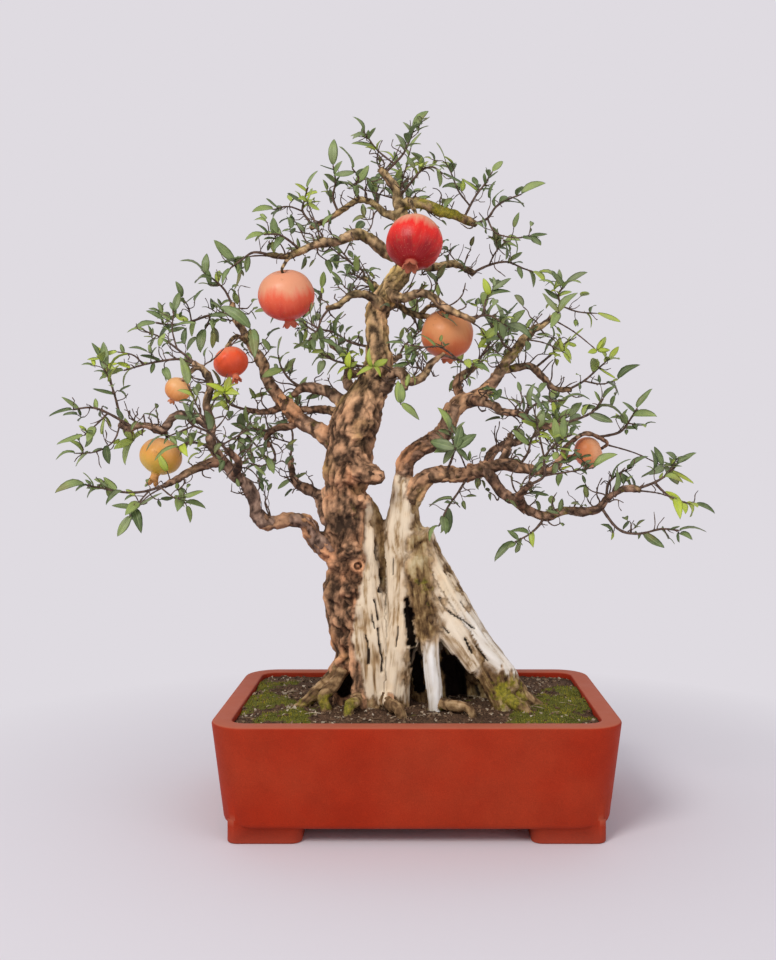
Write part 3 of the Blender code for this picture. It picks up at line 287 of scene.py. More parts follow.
# Leafy stems: for each spray its twigs, each with a number of leaves
SPRAYS = [
    [(7, [(-276, 541, -52), (-294, 547, -54), (-316, 545, -58), (-340, 540, -62),
          (-364, 533, -66)]),
     (3, [(-340, 540, -62), (-352, 552, -68), (-372, 556, -74)])],
    [(6, [(-268, 536, -52), (-298, 560, -40), (-318, 574, -34), (-338, 582, -30)]),
     (3, [(-298, 560, -40), (-304, 584, -36), (-302, 606, -32)])],
    [(5, [(-366, 465, -82), (-374, 497, -82), (-380, 516, -84), (-388, 534, -86)])],
    [(5, [(-352, 462, -80), (-384, 480, -96), (-405, 487, -100), (-428, 484, -104)]),
     (3, [(-384, 480, -96), (-400, 464, -106), (-414, 452, -112)]),
     (6, [(-368, 471, -88), (-376, 446, -94), (-398, 432, -98), (-424, 430, -104)])],
    [(6, [(-308, 393, -86), (-332, 384, -96), (-358, 381, -104), (-388, 386, -112),
          (-412, 391, -118)]),
     (5, [(-332, 384, -96), (-346, 368, -102), (-356, 352, -106)]),
     (3, [(-320, 389, -91), (-304, 376, -96), (-288, 368, -98)])],
    [(7, [(-246, 428, -58), (-264, 440, -84), (-282, 444, -100), (-296, 438, -112)])],
    [(7, [(-180, 457, 17), (-202, 460, 2), (-216, 459, -8), (-224, 446, -16),
          (-238, 432, -24)]),
     (4, [(-216, 459, -8), (-200, 440, -20), (-186, 424, -26)])],
    [(6, [(-182, 442, 20), (-176, 424, 8), (-192, 414, -2), (-208, 418, -8)])],
    [(6, [(-206, 483, 26), (-230, 490, 16), (-240, 503, 4), (-246, 514, -6)])],
    [(7, [(-229, 613, 27), (-238, 632, 22), (-251, 645, 18), (-266, 656, 14)])],
    [(6, [(-226, 604, 29), (-256, 602, 14), (-280, 594, 6), (-304, 590, -2),
          (-324, 592, -8)]),
     (2, [(-280, 594, 6), (-284, 612, 0), (-292, 624, -4)]),
     (3, [(-256, 602, 14), (-262, 586, 20), (-272, 574, 24)])],
    [(6, [(-140, 511, 30), (-156, 520, 22), (-168, 536, 14), (-172, 552, 6)])],
    [(7, [(-52, 535, -6), (-84, 541, -24), (-104, 546, -32), (-122, 556, -38)]),
     (4, [(-84, 541, -24), (-96, 560, -32), (-98, 576, -38)])],
    [(6, [(-46, 560, 4), (-83, 568, 40), (-102, 580, 56), (-121, 585, 70),
          (-138, 594, 80)])],
    [(5, [(-108, 611, -35), (-118, 598, -46), (-124, 582, -54), (-134, 570, -60)])],
    [(6, [(-180, 676, -25), (-202, 680, -30), (-217, 671, -36), (-232, 660, -42)])],
    [(6, [(-144, 682, -19), (-158, 694, -34), (-172, 702, -44), (-190, 702, -52)])],
    [(6, [(-128, 712, 53), (-142, 731, 58), (-139, 746, 54), (-136, 760, 50)]),
     (4, [(-142, 731, 58), (-160, 737, 50), (-178, 733, 44)])],
    [(6, [(-97, 729, 45), (-104, 747, 40), (-101, 768, 34), (-104, 788, 28)])],
    [(5, [(-70, 744, 37), (-78, 758, 20), (-72, 772, 8), (-80, 784, 0)])],
    [(8, [(-40, 778, 2), (-28, 790, -4), (-17, 802, -8), (-10, 816, -10),
          (-4, 832, -12)]),
     (6, [(-28, 790, -4), (-46, 804, -10), (-56, 816, -14), (-66, 830, -18)])],
    [(8, [(-22, 748, 8), (-6, 768, -12), (6, 782, -20), (20, 786, -26),
          (32, 778, -32)])],
    [(7, [(58, 721, 12), (72, 748, 18), (84, 764, 24), (94, 780, 28)]),
     (5, [(66, 738, 16), (52, 756, 6), (44, 776, -2), (36, 792, -8)])],
    [(7, [(71, 715, 14), (88, 722, 8), (98, 736, 4), (112, 745, 0), (130, 752, -4)]),
     (4, [(88, 722, 8), (98, 704, 0), (122, 698, -6), (142, 700, -10)])],
    [(8, [(69, 654, 56), (90, 664, 54), (112, 668, 50), (132, 660, 46),
          (150, 654, 44)]),
     (4, [(90, 664, 54), (98, 680, 36), (108, 690, 26)])],
    [(6, [(69, 596, -53), (84, 602, -58), (98, 598, -62), (112, 588, -66)]),
     (3, [(84, 602, -58), (86, 620, -62), (94, 632, -66)])],
    [(7, [(32, 553, -34), (52, 546, -40), (67, 540, -46), (84, 546, -50)]),
     (5, [(52, 546, -40), (30, 562, -58), (8, 562, -62), (-16, 566, -62)])],
    [(7, [(168, 598, 44), (178, 614, 38), (176, 628, 32), (186, 640, 26)]),
     (4, [(178, 614, 38), (200, 606, 28), (224, 604, 18)])],
    [(5, [(121, 555, 31), (108, 566, 12), (100, 580, 2), (92, 592, -6)])],
    [(8, [(188, 509, 66), (208, 520, 66), (224, 534, 66), (240, 548, 66)]),
     (4, [(208, 520, 66), (230, 516, 58), (250, 522, 50)])],
    [(7, [(146, 535, 57), (164, 550, 52), (178, 562, 46), (192, 572, 42)])],
    [(6, [(174, 465, -61), (204, 474, -70), (222, 484, -76), (232, 498, -80)])],
    [(5, [(132, 476, -43), (146, 490, -56), (164, 494, -66), (184, 496, -72)])],
    [(6, [(224, 450, -22), (252, 456, -36), (264, 470, -42), (274, 486, -48)])],
    [(7, [(66, 405, -18), (52, 382, -36), (38, 362, -48), (28, 340, -56)])],
    [(6, [(36, 405, -12), (44, 424, -38), (46, 442, -50), (40, 458, -58)])],
    [(6, [(160, 352, -58), (150, 338, -66), (138, 328, -72), (122, 320, -76)])],
    [(6, [(272, 385, -92), (296, 394, -98), (312, 404, -104), (324, 416, -108)]),
     (6, [(296, 394, -98), (312, 378, -104), (330, 370, -108), (346, 366, -112)])],
    [(6, [(228, 365, -80), (250, 336, -92), (276, 330, -98), (304, 336, -102),
          (326, 334, -106)])],
    [(7, [(126, 413, -30), (138, 430, -42), (142, 446, -50), (150, 462, -56)])],
    [(7, [(236, 374, -83), (238, 392, -76), (250, 404, -72), (266, 412, -70)])],
]
# Leafy ends of the limbs at the back and front: limb, leaves
LEAFY_ENDS = {
    "back low": 16, "back left": 16, "back middle": 14, "back right": 16,
    "back base": 16, "back crown": 13, "back far": 15, "front left": 12,
    "front right": 12,
}
# Each fruit's slot, its colour at the middle, near the crown (darker, partly painted shade below) and
# near the stalk (paler, partly painted light from above)
FRUIT_COLOURS = {
    "fruit_1": ("skin_red", (0.80, 0.022, 0.014), (0.32, 0.006, 0.010), (0.80, 0.34, 0.20)),
    "fruit_2": ("skin_red", (0.82, 0.125, 0.058), (0.68, 0.040, 0.030), (0.80, 0.34, 0.19)),
    "fruit_3": ("skin_orange", (0.70, 0.185, 0.070), (0.60, 0.115, 0.055), (0.74, 0.30, 0.12)),
    "fruit_4": ("skin_red", (0.86, 0.105, 0.032), (0.70, 0.080, 0.028), (0.80, 0.20, 0.09)),
    "fruit_5": ("skin_orange", (0.80, 0.33, 0.105), (0.70, 0.24, 0.07), (0.80, 0.42, 0.17)),
    "fruit_6": ("skin_yellow", (0.80, 0.37, 0.080), (0.66, 0.42, 0.055), (0.82, 0.42, 0.16)),
    "fruit_7": ("skin_orange", (0.80, 0.28, 0.105), (0.74, 0.20, 0.09), (0.82, 0.38, 0.19)),
}

# The camera and the stage
PICTURE_HEIGHT = 960
FOCUS = 1069
AXIS_RIGHT = 28.7
AXIS_UP = 28.3
SENSOR = 36
FLOOR_RADIUS = 40.0


# Small shape helpers


def seen(across, up, depth):
    """The place of a point drawn in millimetres as the eye at the front sees it."""
    depth -= TREE_FORWARD
    scale = (EYE_BACK + depth) / EYE_BACK
    height = EYE_HEIGHT + (up - EYE_HEIGHT) * scale + TREE_RAISED
    return POT_MIDDLE + Vector((across * scale, depth, height)) * MM


def as_seen(place):
    """Where the eye at the front sees a place: across and up, in millimetres."""
    at = (place - POT_MIDDLE) / MM
    scale = (EYE_BACK + at.y) / EYE_BACK
    return at.x / scale, EYE_HEIGHT + (at.z - TREE_RAISED - EYE_HEIGHT) / scale


def placed(route):
    return [(seen(x, z, y), radius * MM) for x, z, y, radius in route]


def smooth_route(points, steps):
    """Points on a smooth curve through the route's points, with its radius."""
    found = []
    last = len(points) - 1
    for i in range(last):
        before, start, end, after = (points[min(max(k, 0), last)] for k in range(i - 1, i + 3))
        for step in range(steps):
            t = step / steps
            weights = (
                (-t + 2 * t * t - t**3) / 2,
                (2 - 5 * t * t + 3 * t**3) / 2,
                (t + 4 * t * t - 3 * t**3) / 2,
                (-t * t + t**3) / 2,
            )
            around = (before, start, end, after)
            place = sum((p * w for (p, _), w in zip(around, weights)), Vector())
            found.append((place, start[1] + (end[1] - start[1]) * t))
    return found + [points[last]]


def evenly_spaced(points, spacing):
    """The same route with its points set at even distances."""
    found = [points[0]]
    left = spacing
    for (start, thick), (end, thin) in zip(points, points[1:]):
        length = (end - start).length
        gone = left
        while gone < length:
            share = gone / length
            found.append((start.lerp(end, share), thick + (thin - thick) * share))
            gone += spacing
        left = gone - length
    found.append(points[-1])
    return found


def steady_frames(places):
    """The way on, and two steady directions across it, at each point of a route."""
    last = len(places) - 1
    ways = [
        (places[min(i + 1, last)] - places[max(i - 1, 0)]).normalized() for i in range(last + 1)
    ]
    side = ways[0].orthogonal().normalized()
    found = []
    for way in ways:
        side = (side - way * side.dot(way)).normalized()
        found.append((way, side, way.cross(side)))
    return found


def smoothstep(low, high, value):
    t = min(1.0, max(0.0, (value - low) / (high - low)))
    return t * t * (3 - 2 * t)


def lumps(place, size, octaves=3):
    """Smooth noise between about -1 and 1, with lumps of this size."""
    return noise.fractal(place / size, 1.0, 2.0, octaves)


def ridges(place):
    """Sharp crests between 0 and 1 over rounded grooves."""
    return 1.0 - min(1.0, 2.2 * abs(noise.noise(place)))


def swellings(place, size):
    """Rounded swellings of this size, 1 at their tops, with creases at 0 between."""
    bent = place / size
    bent += noise.noise_vector(bent * 0.8) * 0.6 + noise.noise_vector(bent * 2.3) * 0.22
    nearest, second = noise.voronoi(bent)[0][:2]
    return smoothstep(0.0, 0.55, second - nearest)


# The marks that hold three numbers for each point
TRIPLES = ("grain", "blade", "streak")


class Skin:
    """The points and faces of one mesh while they are gathered, with a value of
    each named mark for every point."""

    def __init__(self, *marks):
        self.points = []
        self.faces = []
        self.slots = []
        self.marks = {mark: [] for mark in marks}

    def point(self, place, **values):
        self.points.append(place)
        for mark, found in self.marks.items():
            found.append(values.get(mark, (0, 0, 0) if mark in TRIPLES else 0.0))
        return len(self.points) - 1

    def face(self, corners, slot=0):
        self.faces.append(corners)
        self.slots.append(slot)

    def band(self, low, high, slot=0):
        """Faces between two rings of points."""
        count = len(low)
        for i in range(count):
            after = (i + 1) % count
            self.face((low[i], low[after], high[after], high[i]), slot)

    def fan(self, ring, middle, slot=0):
        """Faces from a ring to one point that lies beyond it."""
        for i, corner in enumerate(ring):
            self.face((corner, ring[(i + 1) % len(ring)], middle), slot)

    def mesh(self, name):
        made = bpy.data.meshes.new(name)
        made.from_pydata(self.points, [], self.faces)
        made.polygons.foreach_set("material_index", self.slots)
        for mark, values in self.marks.items():
            set_mark(made, mark, values)
        made.update()
        return made


def set_mark(mesh, mark, values):
    """Writes one value, or one triple, for each point of the mesh."""
    if mark in TRIPLES:
        made = mesh.attributes.new(mark, "FLOAT_VECTOR", "POINT")
        made.data.foreach_set("vector", [number for value in values for number in value])
    else:
        made = mesh.attributes.new(mark, "FLOAT", "POINT")
        made.data.foreach_set("value", values)


def face_outwards(mesh):
    bm = bmesh.new()
    bm.from_mesh(mesh)
    bmesh.ops.recalc_face_normals(bm, faces=bm.faces)
    bm.to_mesh(mesh)
    bm.free()


def add_piece(name, mesh, materials, replaced=(), flat=False):
    """Shows the mesh as a piece of the part, standing for the nodes it replaces."""
    face_outwards(mesh)
    if flat:
        mesh.shade_flat()
    else:
        mesh.shade_smooth()
    for material in materials:
        mesh.materials.append(material)
    piece = bpy.data.objects.new(name, mesh)
    bpy.context.scene.collection.objects.link(piece)
    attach(piece, BODY)
    if replaced:
        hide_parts(*replaced)
    return piece


def evaluated_mesh(obj):
    graph = bpy.context.evaluated_depsgraph_get()
    return bpy.data.meshes.new_from_object(obj.evaluated_get(graph))


def tree_of(*meshes):
    points = []
    faces = []
    for mesh in meshes:
        start = len(points)
        points += [vertex.co.copy() for vertex in mesh.vertices]
        faces += [[start + corner for corner in face.vertices] for face in mesh.polygons]
    return BVHTree.FromPolygons(points, faces)


def loft(skin, points, sides, relief=None, slot=0, **values):
    """A closed tube along a route. The relief gives how far a point is raised,
    from its place, the angle round the tube and the length along it."""
    places = [place for place, _ in points]
    rings = []
    length = 0.0
    for i, ((place, radius), (way, side, over)) in enumerate(zip(points, steady_frames(places))):
        if i:
            length += (place - places[i - 1]).length
        ring = []
        for step in range(sides):
            angle = 2 * math.pi * step / sides
            out = side * math.cos(angle) + over * math.sin(angle)
            raised = radius + (relief(place + out * radius, angle, length) if relief else 0.0)
            values["grain"] = (out * radius).dot(side), (out * radius).dot(over), length
            ring.append(skin.point(place + out * raised, **values))
        rings.append(ring)
    for low, high in zip(rings, rings[1:]):
        skin.band(low, high, slot)
    start, end = steady_frames(places)[0][0], steady_frames(places)[-1][0]
    skin.fan(rings[0], skin.point(places[0] - start * (0.4 * points[0][1]), **values), slot)
    skin.fan(rings[-1], skin.point(places[-1] + end * (0.4 * points[-1][1]), **values), slot)


# Materials


class Recipe:
    """A material whose node tree is built by short calls. A value that a call
    takes is a number, a colour, or what another call gave."""

    def __init__(self, name, roughness, coat=0.0, coat_roughness=0.3, specular=0.5):
        self.material = bpy.data.materials.new(name)
        self.material.use_nodes = True
        self.tree = self.material.node_tree
        self.shader = self.tree.nodes["Principled BSDF"]
        self.shader.inputs["Roughness"].default_value = roughness
        self.shader.inputs["Coat Weight"].default_value = coat
        self.shader.inputs["Coat Roughness"].default_value = coat_roughness
        self.shader.inputs["Specular IOR Level"].default_value = specular
        self.place = self.tree.nodes.new("ShaderNodeTexCoord").outputs["Object"]

    def give(self, socket, value):
        if isinstance(value, bpy.types.NodeSocket):
            self.tree.links.new(value, socket)
        elif socket.type == "RGBA":
            socket.default_value = (*tuple(value)[:3], 1.0)
        else:
            socket.default_value = value

    def mark(self, name, vector=False):
        node = self.tree.nodes.new("ShaderNodeAttribute")
        node.attribute_name = name
        return node.outputs["Vector" if vector else "Fac"]

    def stretched(self, vector, scale):
        node = self.tree.nodes.new("ShaderNodeMapping")
        self.give(node.inputs["Vector"], vector)
        node.inputs["Scale"].default_value = scale
        return node.outputs["Vector"]

    def noise(self, per_metre, vector=None, detail=4.0, roughness=0.55):
        node = self.tree.nodes.new("ShaderNodeTexNoise")
        self.give(node.inputs["Vector"], vector or self.place)
        node.inputs["Scale"].default_value = per_metre
        node.inputs["Detail"].default_value = detail
        node.inputs["Roughness"].default_value = roughness
        return node.outputs["Fac"]

    def cells(self, per_metre, vector=None):
        node = self.tree.nodes.new("ShaderNodeTexVoronoi")
        self.give(node.inputs["Vector"], vector or self.place)
        node.inputs["Scale"].default_value = per_metre
        return node.outputs["Distance"]

    def sum(self, operation, first, second=0.0):
        node = self.tree.nodes.new("ShaderNodeMath")
        node.operation = operation
        self.give(node.inputs[0], first)
        self.give(node.inputs[1], second)
        return node.outputs[0]

    def span(self, value, low, high, to_low=0.0, to_high=1.0):
        """The value's place between two bounds, kept within them."""
        node = self.tree.nodes.new("ShaderNodeMapRange")
        for socket, given in zip(node.inputs, (value, low, high, to_low, to_high)):
            self.give(socket, given)
        return node.outputs["Result"]

    def ramp(self, value, *stops):
        node = self.tree.nodes.new("ShaderNodeValToRGB")
        elements = node.color_ramp.elements
        while len(elements) < len(stops):
            elements.new(0.5)
        for element, (position, colour) in zip(elements, stops):
            element.position = position
            element.color = (*tuple(colour)[:3], 1.0)
        self.give(node.inputs["Fac"], value)
        return node.outputs["Color"]

    def mix(self, share, below, above, blend="MIX"):
        node = self.tree.nodes.new("ShaderNodeMix")
        node.data_type = "RGBA"
        node.blend_type = blend
        self.give(node.inputs[0], share)
        self.give(node.inputs[6], below)
        self.give(node.inputs[7], above)
        return node.outputs[2]

    def part_of(self, vector, axis):
        node = self.tree.nodes.new("ShaderNodeSeparateXYZ")
        self.give(node.inputs[0], vector)
        return node.outputs[axis]

    def facing_up(self):
        node = self.tree.nodes.new("ShaderNodeNewGeometry")
        return self.part_of(node.outputs["Normal"], "Z")

    def done(self, colour, height=None, depth=1 * MM, roughness=None):
        self.give(self.shader.inputs["Base Color"], colour)
        if roughness is not None:
            self.give(self.shader.inputs["Roughness"], roughness)
        if height is not None:
            node = self.tree.nodes.new("ShaderNodeBump")
            node.inputs["Distance"].default_value = depth
            self.give(node.inputs["Height"], height)
            self.tree.links.new(node.outputs["Normal"], self.shader.inputs["Normal"])
        return self.material


def shade(colour, share):
    """The colour made darker, or lighter above 1."""
    return tuple(min(1.0, part * share) for part in tuple(colour)[:3])


def clay_material(clay):
    r = Recipe("clay", 0.7, specular=0.12)
    blotches = r.span(r.noise(9, detail=5), 0.42, 0.66)
    colour = r.mix(blotches, clay, (clay[0] * 1.04, clay[1] * 1.5, clay[2] * 2.0))
    speckle = r.span(r.noise(900, detail=2), 0.35, 0.7, 0.82, 1.14)
    colour = r.mix(0.75, colour, r.mix(1.0, colour, speckle, "MULTIPLY"))
    clouds = r.span(r.noise(28, detail=6), 0.30, 0.75, 0.86, 1.10)
    colour = r.mix(0.8, colour, r.mix(1.0, colour, clouds, "MULTIPLY"))
    # Painted light and dust: faces that look up, the rim above all, are made paler.
    top = r.span(r.facing_up(), 0.45, 0.92, 0.0, 0.8)
    colour = r.mix(top, colour, (0.52, 0.155, 0.090))
    low = r.span(r.part_of(r.place, "Z"), 0.0, FOOT_HEIGHT + 6 * MM, 0.35, 0.0)
    colour = r.mix(low, colour, (0.36, 0.10, 0.06))
    grain = r.noise(1400, detail=3)
    waves = r.noise(60, detail=3)
    height = r.sum("ADD", r.sum("MULTIPLY", grain, 0.12), r.sum("MULTIPLY", waves, 0.5))
    gloss = r.span(r.noise(35, detail=4), 0.3, 0.7, 0.50, 0.66)
    return r.done(colour, height, 0.6 * MM, gloss)


def ground_material(soil, moss):
    r = Recipe("ground", 0.95, specular=0.2)
    grains = r.noise(420, detail=6, roughness=0.7)
    earth = r.ramp(grains, (0.30, shade(soil, 0.35)), (0.48, soil), (0.62, shade(soil, 2.3)),
                   (0.78, shade(soil, 4.2)))
    damp = r.span(r.noise(26, detail=3), 0.35, 0.65, 0.65, 1.15)
    earth = r.mix(1.0, earth, damp, "MULTIPLY")
    tufts = r.noise(700, detail=5, roughness=0.7)
    green = r.ramp(tufts, (0.30, shade(moss, 0.25)), (0.52, moss), (0.75, shade(moss, 2.2)))
    shares = r.sum("ADD", r.mark("moss"), r.span(r.noise(160, detail=4), 0.3, 0.7, -0.3, 0.3))
    colour = r.mix(r.span(shares, 0.25, 0.6), earth, green)
    return r.done(colour, grains, 1.4 * MM)


def grit_material(soil):
    r = Recipe("grit", 0.9, specular=0.3)
    tone = r.mark("tone")
    colour = r.ramp(tone, (0.0, shade(soil, 0.6)), (0.45, shade(soil, 1.9)),
                    (0.75, (0.30, 0.20, 0.12)), (1.0, (0.55, 0.47, 0.36)))
    return r.done(colour, r.noise(1500, detail=3), 0.3 * MM)


def moss_material(moss):
    r = Recipe("moss shoots", 0.9, specular=0.2)
    colour = r.ramp(r.mark("tone"), (0.0, shade(moss, 0.35)), (0.5, moss),
                    (0.8, (moss[0] * 2.4, moss[1] * 2.0, moss[2] * 1.2)),
                    (1.0, (moss[0] * 3.4, moss[1] * 2.8, moss[2] * 1.6)))
    return r.done(colour)


def litter_material():
    r = Recipe("dry litter", 0.9, specular=0.2)
    colour = r.ramp(r.mark("tone"), (0.0, (0.10, 0.055, 0.03)), (0.5, (0.30, 0.20, 0.12)),
                    (1.0, (0.62, 0.52, 0.38)))
    return r.done(colour, r.noise(900), 0.3 * MM)


def wood_material(bark, deadwood, moss):
    """Live bark, bleached and brown dead wood, moss, and painted highlight and shade, by the marks of
    the skin.
    """
    r = Recipe("old wood", 0.85, specular=0.25)
    grain = r.mark("grain", vector=True)
    raised = r.mark("relief")
    flakes = r.noise(230, detail=7, roughness=0.68)
    strands = r.noise(1, r.stretched(grain, (210, 210, 60)), detail=6, roughness=0.65)
    value = r.sum("ADD", r.sum("MULTIPLY", raised, 0.62), r.sum("MULTIPLY", flakes, 0.28))
    value = r.sum("ADD", value, r.sum("MULTIPLY", strands, 0.16))
    live = r.ramp(value, (0.30, shade(bark, 0.12)), (0.40, shade(bark, 0.50)),
                  (0.52, shade(bark, 1.15)), (0.66, shade(bark, 1.75)), (0.82, shade(bark, 2.4)))
    rusty = r.span(r.noise(20, detail=5), 0.50, 0.66, 0.0, 0.5)
    live = r.mix(rusty, live, r.mix(1.0, live, (1.08, 0.80, 0.64), "MULTIPLY"))
    upper = r.span(r.part_of(r.place, "Z"), 0.46, 0.60, 0.0, 0.75)
    live = r.mix(upper, live, r.mix(1.0, live, (1.25, 1.52, 1.45), "MULTIPLY"))
    higher = r.span(r.part_of(r.place, "Z"), 0.38, 0.66, -0.10, 0.16)
    olive = r.sum("ADD", r.noise(15, r.stretched(r.place, (1.3, 1.3, 1.0)), detail=4), higher)
    olive = r.span(olive, 0.52, 0.68, 0.0, 0.7)
    live = r.mix(olive, live, r.mix(1.0, live, (0.92, 1.06, 0.66), "MULTIPLY"))
    pale = r.ramp(value, (0.32, (0.060, 0.038, 0.032)), (0.44, (0.22, 0.155, 0.13)),
                  (0.58, (0.44, 0.34, 0.285)), (0.8, (0.66, 0.55, 0.47)))
    fibres = r.noise(1, r.stretched(grain, (300, 300, 15)), detail=6, roughness=0.6)
    broad = r.noise(1, r.stretched(grain, (60, 60, 9)), detail=4)
    old_value = r.sum("ADD", r.sum("MULTIPLY", fibres, 0.28), r.sum("MULTIPLY", broad, 0.34))
    old_value = r.sum("ADD", old_value, r.sum("MULTIPLY", raised, 0.44))
    old = r.ramp(old_value, (0.28, (0.10, 0.05, 0.022)), (0.38, (0.42, 0.27, 0.13)),
                 (0.48, shade(deadwood, 0.92)), (0.60, deadwood), (0.78, shade(deadwood, 1.12)))
    tan = r.span(r.noise(32, detail=5), 0.5, 0.66, 0.0, 0.45)
    old = r.mix(tan, old, r.mix(1.0, old, (0.90, 0.76, 0.56), "MULTIPLY"))
    white = r.ramp(old_value, (0.30, (0.16, 0.10, 0.06)), (0.40, (0.56, 0.46, 0.34)),
                   (0.50, (0.84, 0.79, 0.71)), (0.66, (0.93, 0.91, 0.87)))
    brown_value = r.sum("ADD", r.sum("MULTIPLY", value, 0.7), r.sum("MULTIPLY", fibres, 0.3))
    brown = r.ramp(brown_value, (0.32, (0.040, 0.018, 0.008)), (0.42, (0.20, 0.115, 0.045)),
                   (0.52, (0.42, 0.285, 0.125)), (0.66, (0.66, 0.53, 0.31)))
    # The paleness mark: paler limb bark, and bleached dead wood made whiter, partly as a painted
    # highlight.
    paleness_and_highlight = r.mark("paleness_and_highlight")
    dead = r.mark("deadwood")
    old = r.mix(paleness_and_highlight, old, white)
    live = r.mix(r.sum("MULTIPLY", paleness_and_highlight, 0.8), live, pale)
    # Painted shade: the live bark is made darker on its undersides.
    under = r.span(r.facing_up(), -0.15, -0.75, 0.0, 0.75)
    live = r.mix(under, live, r.mix(1.0, live, (0.42, 0.36, 0.38), "MULTIPLY"))
    colour = r.mix(dead, live, old)
    colour = r.mix(r.mark("weathered"), colour, brown)
    # Painted shade: the wood is darkened almost to black in its splits, creases, hollows and closed-in
    # places.
    hollow = r.span(r.mark("painted_recess_shade"), 0.34, 0.90, 0.0, 0.97)
    colour = r.mix(hollow, colour, (0.014, 0.007, 0.005))
    mossy = r.sum("ADD", r.mark("moss"), r.span(r.noise(120, detail=5), 0.3, 0.7, -0.35, 0.35))
    green = r.ramp(flakes, (0.3, shade(moss, 0.5)), (0.5, (moss[0] * 1.9, moss[1] * 1.7, moss[2])),
                   (0.7, (moss[0] * 3.8, moss[1] * 3.0, moss[2] * 1.3)))
    colour = r.mix(r.span(mossy, 0.30, 0.75, 0.0, 0.9), colour, green)
    bark_height = r.sum("ADD", r.sum("MULTIPLY", flakes, 0.7), r.sum("MULTIPLY", strands, 0.5))
    node = r.tree.nodes.new("ShaderNodeMix")
    r.give(node.inputs[0], dead)
    r.give(node.inputs[2], bark_height)
    r.give(node.inputs[3], r.sum("MULTIPLY", fibres, 0.7))
    return r.done(colour, node.outputs[0], 2.6 * MM)


def twig_material(bark):
    r = Recipe("twig bark", 0.8, specular=0.25)
    colour = r.ramp(r.noise(260, detail=5), (0.32, shade(bark, 0.4)), (0.5, shade(bark, 0.95)),
                    (0.7, shade(bark, 1.7)))
    return r.done(colour, r.noise(900, detail=3), 0.3 * MM)


def leaf_material(dark, mid, young):
    r = Recipe("leaf", 0.42, specular=0.4)
    blade = r.mark("blade", vector=True)
    along, across, under = (r.part_of(blade, axis) for axis in "XYZ")
    across = r.sum("ABSOLUTE", across)
    mottle = r.span(r.noise(130, detail=4), 0.3, 0.7, -0.07, 0.07)
    tint = r.sum("ADD", r.mark("tint"), mottle)
    colour = r.ramp(tint, (0.0, dark), (0.26, mid), (0.50, (0.36, 0.45, 0.11)), (0.84, young),
                    (1.0, shade(young, 1.25)))
    bronze = r.sum("MULTIPLY", r.span(r.noise(22, detail=2), 0.58, 0.70), 0.5)
    colour = r.mix(bronze, colour, (0.23, 0.16, 0.055))
    greyed = r.sum("MULTIPLY", r.span(r.noise(31, detail=2), 0.50, 0.66), 0.5)
    colour = r.mix(greyed, colour, (0.33, 0.37, 0.21))
    slant = r.sum("ADD", r.sum("MULTIPLY", along, 58.0), r.sum("MULTIPLY", across, -13.0))
    veins = r.span(r.sum("SINE", slant), 0.86, 1.0, 0.0, 0.30)
    rib = r.span(across, 0.05, 0.13, 0.62, 0.0)
    lines = r.sum("MAXIMUM", veins, rib)
    colour = r.mix(lines, colour, r.mix(0.5, colour, (0.42, 0.52, 0.20)))
    colour = r.mix(r.sum("MULTIPLY", under, 0.42), colour, (0.15, 0.22, 0.10))
    height = r.sum("SUBTRACT", 1.0, lines)
    return r.done(colour, height, 0.25 * MM)


def fruit_material(name, main, low, high):
    """A ripe skin: its colour at the middle, near the crown, darker partly as painted shade below, and
    near the stalk, paler partly as painted light from above.
    """
    r = Recipe(name, 0.38, coat=0.04, coat_roughness=0.3, specular=0.26)
    streak = r.mark("streak", vector=True)
    clouds = r.span(r.noise(1.5, streak, detail=4), 0.3, 0.7, -0.10, 0.10)
    along = r.sum("ADD", r.mark("along"), clouds)
    # Natural colour and painted shade: darker towards the crown, which hangs lowest.
    colour = r.mix(r.span(along, 0.52, 0.86), main, low)
    # Natural colour and painted light: paler towards the stalk, on top.
    colour = r.mix(r.span(along, 0.48, 0.26, 0.0, 1.0), colour, high)
    fine = r.noise(7, streak, detail=6, roughness=0.7)
    colour = r.mix(r.span(fine, 0.52, 0.72, 0.0, 0.14), colour, high)
    dots = r.span(r.cells(330), 0.10, 0.20, 0.25, 0.0)
    colour = r.mix(dots, colour, shade(high, 1.1))
    scuffs = r.span(r.noise(60, detail=8, roughness=0.75), 0.60, 0.70, 0.0, 0.45)
    colour = r.mix(scuffs, colour, (0.24, 0.11, 0.05))
    crown = r.mark("crown")
    colour = r.mix(r.sum("MULTIPLY", crown, 0.6), colour, (0.62, 0.24, 0.13))
    dry = r.span(r.noise(190, detail=4), 0.48, 0.72, 0.0, 0.8)
    colour = r.mix(r.sum("MULTIPLY", crown, dry), colour, (0.20, 0.09, 0.04))
    rough = r.sum("ADD", r.span(r.noise(90, detail=4), 0.3, 0.7, 0.30, 0.48),
                  r.sum("MULTIPLY", crown, 0.4))
    height = r.sum("ADD", r.sum("MULTIPLY", r.noise(420, detail=3), 0.35), r.noise(50, detail=2))
    return r.done(colour, height, 0.7 * MM, rough)

# The pot


